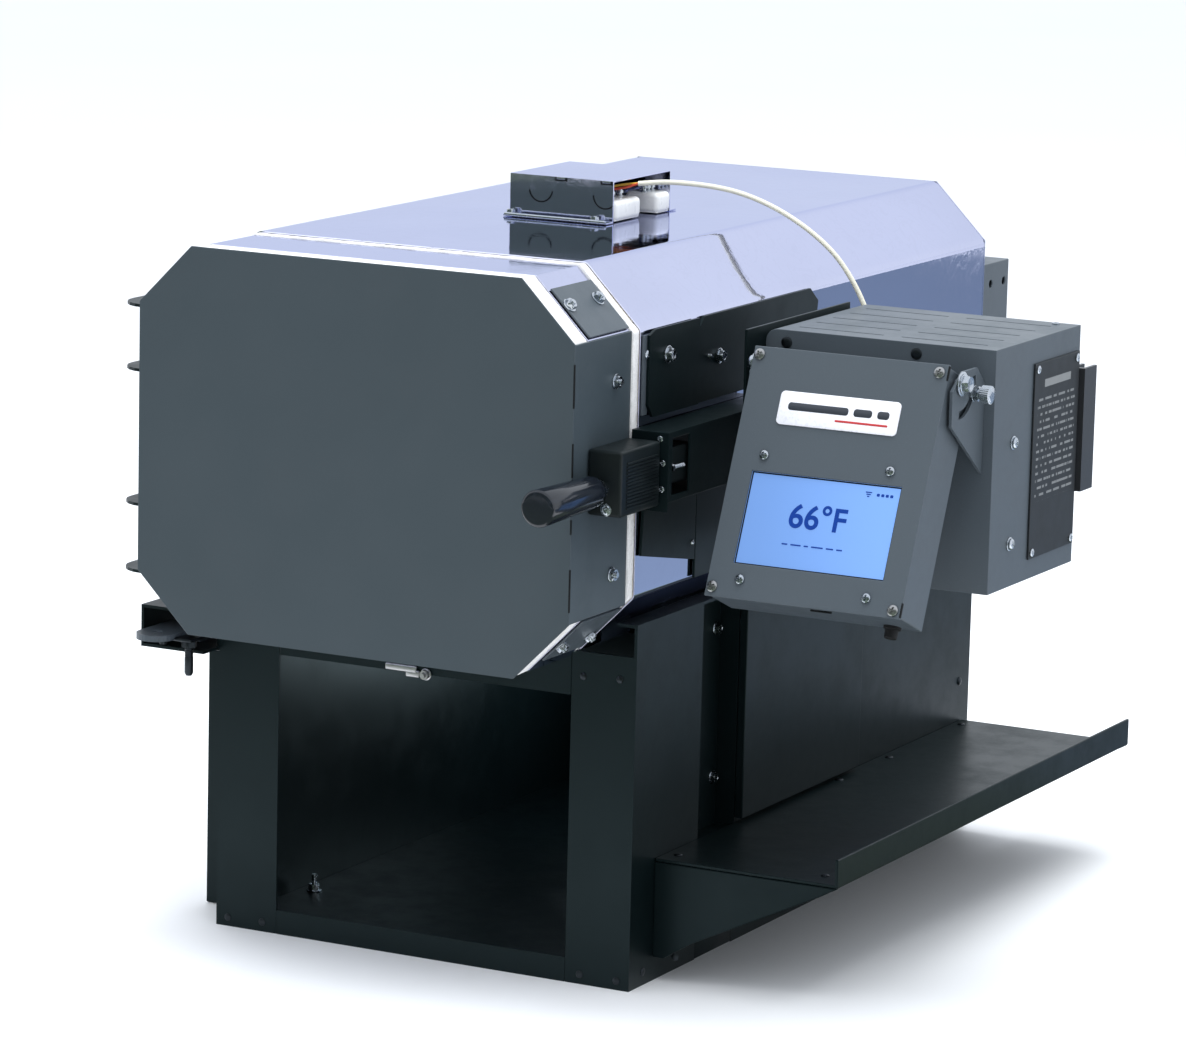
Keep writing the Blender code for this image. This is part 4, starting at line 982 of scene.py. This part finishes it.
def top_box_trim():
    """Knock-out rings and tab slots on the box's front, the bead of its front foot, and the feet's screws."""
    low, high = node_box("terminal_box")
    wall = low[1] + 9
    left, right, top = low[0], high[0], high[2]
    # The knock-out rings and the tab slots are thin near-black pieces: painted shade in the cut lines and in the
    # gaps behind the tabs.
    rings = Shape()
    for x, z, reach in ((-7.8, 486.2, 8.6), (40, 485.0, 8.6)):
        turn = np.linspace(math.radians(188 if x < 0 else 182), math.radians(352 if x < 0 else 312), 40)
        path = np.stack([x + reach * np.cos(turn), np.full(40, wall - 0.05), z + reach * np.sin(turn)], -1)
        rings.grid(*tube(path, 0.55, 8, (0, 1, 0)))
    rings.piece("knock_out_rings", SHADOW_GAP, "root", "mirror_steel", 60)
    tabs, slots = Shape(), Shape()
    for x in (7.2, 41.0):
        slots.block((x - 4.6, wall - 0.15, top - 2.8), (x + 4.6, wall + 0.4, top - 0.3), 0.12, 2)
        tabs.block((x - 3.2, wall - 0.7, top - 1.7), (x + 3.2, wall + 0.3, top - 0.1), 0.3, 2)
    slots.piece("tab_slots", SHADOW_GAP, "root", "mirror_steel")
    for x in (left + 3.5, right - 11):
        tabs.put(washer(3.6, 0.6), (x, low[1] + 4.5, low[2] + 1), UP)
        tabs.put(hex_head(5.6, 2.6), (x, low[1] + 4.5, low[2] + 1.6), UP, x)
        tabs.put(hex_head(5.6, 2.6), (x, high[1] - 4.5, low[2] + 1.6), UP, x + 20)
    foot = np.array([[x, low[1] + 0.6, low[2] + 1.3] for x in np.linspace(left + 1, right - 1, 12)])
    tabs.grid(*tube(foot, 1.3, 12, (0, 0, 1)))
    tabs.piece("box_trim", ZINC, "root", "zinc_plate")


# ---- door handle and latch ---------------------------------------------------------------------
def handle():
    """A turned grip, a little wider towards its free end, with rounded ends and a plated nut behind it."""
    low, high = node_box("door_handle")
    centre = (np.array(low) + np.array(high)) / 2
    front, reach = low[1], (high[0] - low[0]) / 2
    ends = [(0.0, reach - 3.0), (0.25, reach - 1.5), (0.9, reach - 0.5), (1.9, reach)]
    grip = Shape()
    tip = [(71, reach - 1.9), (73.2, reach - 3.6), (73.6, reach - 5)]
    profile = [*ends, (30, reach - 0.6), (66, reach - 1.3), *tip]
    grip.put(lathe([(h, max(r, 0.5)) for h, r in profile], 72), (centre[0], front, centre[2]), BACK)
    made = grip.piece("grip", HANDLE_BLACK, "door", "black_plastic", 35)
    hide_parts("door_handle")
    nut = Shape()
    nut.put(lathe([(0, 3.6), (2.0, 3.6)], 32), (centre[0], front + 73.4, centre[2]), BACK)
    nut.put(hex_head(12.0, 6.0), (centre[0], front + 74.6, centre[2]), BACK, 12)
    nut.put(threaded(3.2, 5.6), (centre[0], front + 79, centre[2]), BACK)
    nut.piece("grip_nut", ZINC, "door", "zinc_plate")


def latch_case():
    """The moulded latch housing, softly rounded, with fine ribs on its outer face and a parting line."""
    low, high = node_box("latch_housing")
    case = Shape()
    case.block(low, np.array(high) - (1.1, 0, 0), 2.2, 5)
    made = case.piece("latch_case", MOULDED, "door", "moulded_plastic")
    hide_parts("latch_housing")
    ribs = Shape()
    face = high[0] - 1.2
    for z in np.linspace(low[2] + 5, high[2] - 8, 14):
        ribs.block((face - 0.6, low[1] + 7, z - 0.55), (face + 1.1, high[1] - 5, z + 0.55), 0.35, 2)
    ribs.piece("latch_ribs", MOULDED, "door", "moulded_plastic")


# ---- display -----------------------------------------------------------------------------------
TILT, PIVOT_BELOW_TOP, PIVOT_BEHIND_FACE = math.radians(22.8), 7.5, 15
display_low, display_high = node_box("display_front")
(tilt_joint,) = [joint for joint in frame["joints"] if joint["name"] == "display_tilt"]
PIVOT_Y = (tilt_joint["pos_m"][1] - DOOR_FACE) / MM
PIVOT_Z = tilt_joint["pos_m"][2] / MM


def on_display(points):
    """(from the left edge, below the top, out of the face) carried to the tilted display."""
    across, below, out = np.moveaxis(np.asarray(points, float), -1, 0)
    back, down = -out - PIVOT_BEHIND_FACE, below - PIVOT_BELOW_TOP
    y = PIVOT_Y + back * math.cos(TILT) - down * math.sin(TILT)
    z = PIVOT_Z - back * math.sin(TILT) - down * math.cos(TILT)
    return np.stack([display_low[0] + across, y, z], -1)


OUT_OF_DISPLAY = (0, -math.cos(TILT), math.sin(TILT))
DOWN_DISPLAY = (0, -math.sin(TILT), -math.cos(TILT))
DISPLAY_LENGTH = 160.4
SCREEN_WINDOW = (15, 79, 116.5, 138)


def on_face(points):
    """Points of a piece that stands up from its own XY plane, with Y up the display, laid on its face."""
    x, y, z = np.moveaxis(points, -1, 0)
    return on_display(np.stack([x, -y, z], -1))


def writing(name, text, size, across, below, out, finish, weight=0.0):
    """Numerals made a thin solid and laid on the display, their middle at a point."""
    data = bpy.data.curves.new(name, "FONT")
    data.body, data.size, data.offset, data.extrude = text, size, weight, 0.05
    data.align_x, data.align_y = "CENTER", "CENTER"
    source = bpy.data.objects.new(name + "_source", data)
    bpy.context.scene.collection.objects.link(source)
    graph = bpy.context.evaluated_depsgraph_get()
    mesh = bpy.data.meshes.new_from_object(source.evaluated_get(graph))
    bpy.data.objects.remove(source)
    points = np.zeros(len(mesh.vertices) * 3)
    mesh.vertices.foreach_get("co", points)
    points = points.reshape(-1, 3) + (across, -below, out)
    mesh.vertices.foreach_set("co", placed(on_face(points)).astype(np.float32).ravel())
    mesh.name = name
    mesh.materials.clear()
    mesh.materials.append(finish)
    made = bpy.data.objects.new(name, mesh)
    bpy.context.scene.collection.objects.link(made)
    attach(made, "display")


def plate_on_display(shape, left, top, right, bottom, out, thickness, radius):
    """A thin plate with round corners: an outline of arcs, raised, with its upper edge eased."""
    turn = angles(48)
    half = np.array([(right - left) / 2, (bottom - top) / 2])
    rows = []
    for lift, ease in ((0, 0), (thickness * 0.7, 0), (thickness, thickness * 0.5)):
        reach = radius - ease
        x = np.sign(np.cos(turn)) * (half[0] - radius) + reach * np.cos(turn)
        y = np.sign(np.sin(turn)) * (half[1] - radius) + reach * np.sin(turn)
        middle_x, middle_y = (left + right) / 2, (top + bottom) / 2
        rows.append(np.stack([x + middle_x, y - middle_y, np.full_like(x, out + lift)], -1))
    shape.grid(on_face(np.array(rows)))


def display_trim():
    """Screws, the blank name plate, the read-out and the small slots of the display."""
    screws, small = Shape(), Shape()
    for across, below in ((4.4, 5.4), (126.4, 5.6), (4.4, 154.4), (126.8, 155.6)):
        screws.put(pan_head(3.5, 2.1, across * 7), on_display((across, below, 0)), OUT_OF_DISPLAY)
    for across, below in ((21.4, 68.7), (107.1, 70.2), (22, 148), (107.9, 150)):
        small.put(pan_head(3.1, 2.3, across * 5), on_display((across, below, 0)), OUT_OF_DISPLAY)
    screws.piece("display_screws", STEEL, "display", "zinc_plate")
    small.piece("screen_screws", ZINC, "display", "zinc_plate")
    label, marks = Shape(), Shape()
    plate_on_display(label, 24.6, 26.8, 106.0, 48.2, 0, 1.1, 3.0)
    label.piece("name_plate", LABEL_WHITE, "display", "moulded_plastic")
    for start, end in ((31, 72), (75.5, 88), (91.5, 99.6)):
        plate_on_display(marks, start, 33.8, end, 38.8, 1.1, 0.08, 2.0)
    marks.piece("name_plate_bar", LABEL_DARK, "display", "moulded_plastic")
    line = Shape()
    plate_on_display(line, 64, 42.0, 99.6, 43.4, 1.1, 0.12, 0.65)
    line.piece("name_plate_line", LABEL_RED, "display", "moulded_plastic")
    writing("read_out", "66°F", 21, 64.6, 104.9, -1.6, READ_OUT, 0.35)
    dashes, rules = Shape(), [(44, 4), (50, 7), (59, 3), (64, 8), (74, 5), (81, 4)]
    for start, length in rules:
        plate_on_display(dashes, start, 121.8, start + length, 122.7, -1.6, 0.1, 0.4)
    for step, length in enumerate((1.6, 3.0, 4.4)):
        half, up = length / 2, step * 1.3
        plate_on_display(dashes, 95 - half, 86.4 - up, 95 + half, 87.1 - up, -1.6, 0.1, 0.3)
    for start in (100.5, 103.5, 106.5, 109.5):
        plate_on_display(dashes, start, 84.4, start + 2.0, 86.2, -1.6, 0.1, 0.5)
    dashes.piece("read_out_marks", READ_OUT, "display", "screen_glass")
    border = Shape()
    left, top, right, bottom = SCREEN_WINDOW
    for edges in ((left, top, right, top + 0.9), (left, bottom - 0.9, right, bottom),
                  (left, top, left + 0.9, bottom), (right - 0.9, top, right, bottom)):
        plate_on_display(border, *edges, -1.85, 0.12, 0.2)
    border.piece("screen_border", SHADOW_GAP, "display", "screen_glass")
    # The slots at the display's right edge and lower end are near-black blocks: painted shade inside the openings.
    slots = Shape()
    width = display_high[0] - display_low[0]
    for below in (5.5, 154.8):
        points = rounded_box((width - 0.7, -below - 4.6, -1.7), (width + 0.12, -below + 4.6, 0.12), 0.1, 2)
        slots.grid(on_face(points))
    points = rounded_box((69, -DISPLAY_LENGTH - 0.12, -9.4), (83, -DISPLAY_LENGTH + 2.0, -7.9), 0.1, 2)
    slots.grid(on_face(points))
    slots.piece("display_slots", SHADOW_GAP, "display", "grey_paint")
    plug = Shape()
    foot = on_display((114, DISPLAY_LENGTH - 1.2, -33))
    plug.put(lathe([(0, 5.6), (1.8, 5.6), (2.4, 4.4), (7.4, 4.0), (8.0, 3.2)], 28), foot, DOWN_DISPLAY)
    plug.piece("display_grommet", RUBBER, "display", "moulded_plastic")


def tilt_hardware():
    """Washers, hexagon heads and the knurled clamp knob at the display's pivots."""
    for tag, side in (("right", 1), ("left", -1)):
        low, high = node_box("tilt_bolt_" + tag)
        face = low[0] if side > 0 else high[0]
        centre = np.array([face, PIVOT_Y, PIVOT_Z])
        parts = Shape()
        parts.put(lathe([(0, 2.7), (4.2, 2.7)], 24), centre, (side, 0, 0))
        parts.put(washer(7.6, 1.1), centre + (side * 4.2, 0, 0), (side, 0, 0))
        parts.put(washer(6.4, 0.9), centre + (side * 5.3, 0, 0), (side, 0, 0))
        if side > 0:
            parts.put(hex_head(9.6, 4.0), centre + (side * 6.2, 0, 0), (side, 0, 0), 14)
        else:
            parts.put(dome(5.2, 4.2), centre + (side * 6.2, 0, 0), (side, 0, 0))
        made = parts.piece("tilt_bolt_parts_" + tag, ZINC, "display", "zinc_plate")
        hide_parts("tilt_bolt_" + tag)
    low, high = node_box("tilt_clamp_knob")
    centre = np.array([low[0], (low[1] + high[1]) / 2, (low[2] + high[2]) / 2])
    knob = Shape()

    def knurl(turn):
        return 1 + 0.025 * np.sign(np.sin(28 * turn)) * abs(np.sin(28 * turn)) ** 0.5

    knob.put(threaded(1.8, 5), centre, RIGHT)
    neck = [(4.3, 5.0), (5.4, 5.0), (5.5, 4.7), (8.0, 4.7), (8.3, 3.2), (10.4, 3.2)]
    knob.put(lathe(neck, 40), centre, RIGHT)
    knob.put(lathe([(10.3, 5.2), (10.7, 5.7), (16.2, 5.7), (16.6, 5.2)], 168, knurl), centre, RIGHT)
    knob.put(lathe([(16.5, 4.6), (16.9, 4.0), (17.1, 2.0)], 40), centre, RIGHT)
    made = knob.piece("clamp_knob_parts", ZINC, "clamp_knob", "zinc_plate")
    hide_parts("tilt_clamp_knob")


# ---- stand and hinge side --------------------------------------------------------------------------------
def channel_foot():
    """The folded-in channel of the right wall ends at the tray: a shelf there, and plain wall below it."""
    foot = Shape()
    foot.block((152, 190.2, 0.3), (154, 242.8, 79), 0.4, 2)
    foot.block((140.2, 190.2, 77), (153.9, 242.8, 79), 0.4, 2)
    foot.piece("channel_foot", BLACK, "root", "black_paint")


def hinge_hardware():
    """Turned hinge pins with rounded heads, the stop pin under the pivot plate, and its nut."""
    for tag in ("upper", "lower"):
        low, high = node_box("hinge_pin_" + tag)
        centre = (low + high) / 2
        height = high[2] - low[2]
        pin = Shape()
        cap = [(4.0, 3.9), (3.9, 6.0), (2.2, 6.2), (0.6, 4.8), (0, 2.4)]
        profile = [(0, 3.0), (0.8, 3.9), *((height - down, radius) for down, radius in cap)]
        pin.put(lathe(profile, 36), (centre[0], centre[1], low[2]), UP)
        made = pin.piece("hinge_pin_turned_" + tag, ZINC, "root", "zinc_plate")
        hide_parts("hinge_pin_" + tag)
    stop = Shape()
    stop.put(lathe([(0, 1.9), (1.9, 2.9), (12, 2.9)], 24), (-161, 71, 172.4), UP)
    stop.put(threaded(2.95, 9, 1.2), (-161, 71, 183.5), UP)
    stop.put(hex_head(9.0, 4.4), (-161, 71, 191.4), UP, 20)
    stop.put(hex_head(5.0, 2.6), (-175, 62, 196), DOWN, 20)
    stop.block((-171, 66, 195.2), (-156.5, 92, 197.4), 0.8, 3)
    stop.piece("stop_pin", DARK_SCREW, "root", "black_paint")


def lintel_fitting():
    """The small plated strap with a nut under the lintel's front edge."""
    low, _ = node_box("stand_lintel")
    strap = Shape()
    edge = low[2]
    strap.block((-27, low[1] - 2.6, edge + 0.6), (-4, low[1] - 0.4, edge + 5.2), 1.0, 3)
    strap.block((-12, low[1] - 2.2, edge - 2.4), (-2, low[1] - 0.4, edge + 2.2), 0.9, 3)
    strap.put(washer(3.9, 0.8), (2.4, low[1] - 0.4, edge + 0.4), FRONT)
    strap.put(hex_head(6.0, 2.6), (2.4, low[1] - 1.2, edge + 0.4), FRONT, 8)
    strap.put(threaded(1.6, 2.4), (2.4, low[1] - 3.6, edge + 0.4), FRONT)
    strap.piece("lintel_strap", STEEL, "root", "zinc_plate")


# ---- finishes of the frame's own nodes ---------------------------------------------------------
FINISH_OF = {
    "slate_paint": SLATE, "grey_paint": GREY, "black_paint": BLACK, "mirror_steel": MIRROR,
    "ceramic_fibre": FIBRE, "insulating_brick": BRICK, "element_wire": COIL, "zinc_plate": ZINC,
    "porcelain": PORCELAIN, "black_plastic": HANDLE_BLACK, "moulded_plastic": MOULDED,
    "glass_sleeve": SLEEVE, "screen_glass": SCREEN, "circuit_board": BOARD, "anodised_aluminium": ALUMINIUM,
}
OWN_FINISH = {"data_plate": PLATE}
EASED_EDGES = {
    "door_plate": 0.5, "stand_panel_right": 0.8, "stand_panel_left": 0.8, "stand_lintel": 0.5, "side_tray": 0.6,
    "side_access_cover": 0.7, "left_side_channel": 0.6, "control_case": 0.7, "display_front": 0.4,
    "display_case": 0.6, "display_ear_right": 0.3, "display_ear_left": 0.3, "terminal_box": 0.3,
    "latch_receiver": 0.4, "control_mount": 0.4, "corner_tab_upper": 0.3, "corner_tab_lower": 0.3,
    "rear_cover": 0.6, "data_plate": 0.3, "tray_bracket_front": 0.5, "tray_bracket_rear": 0.5,
}


def dress_nodes():
    """Gives every node its finish, and eases the edges of the folded sheets."""
    slot_of = {part["node"]: part["material_slot"] for part in frame["record"]["subparts"]}
    for name, node in frame["nodes"].items():
        finish = OWN_FINISH.get(name, FINISH_OF[slot_of[name]])
        node.data.materials.clear()
        node.data.materials.append(finish)
        if name in EASED_EDGES:
            joined = node.modifiers.new("joined", "WELD")
            joined.merge_threshold = 0.00001
            eased = node.modifiers.new("eased", "BEVEL")
            eased.width, eased.segments = EASED_EDGES[name] * MM, 2
            eased.limit_method, eased.angle_limit = "ANGLE", math.radians(40)
            eased.use_clamp_overlap = True


camera()
sensor_lead()
studio()
body_sheet()
fibre_slab("door_fibre_edge", "door_fibre_pad", 11, "door")
gasket()
for side in (-1, 1):
    heating_coil(side)
block_low, block_high = node_box("terminal_block_front")
terminal_block("terminal_block_front_glazed", block_low, block_high, "terminal_block_front")
terminal_block("terminal_block_rear", block_low + (2, 57, 0), block_high + (2, 39, 0))
sensor_wires()
top_box_trim()
handle()
latch_case()
fasteners()
door_screws()
display_trim()
tilt_hardware()
hinge_hardware()
channel_foot()
lintel_fitting()
dress_nodes()
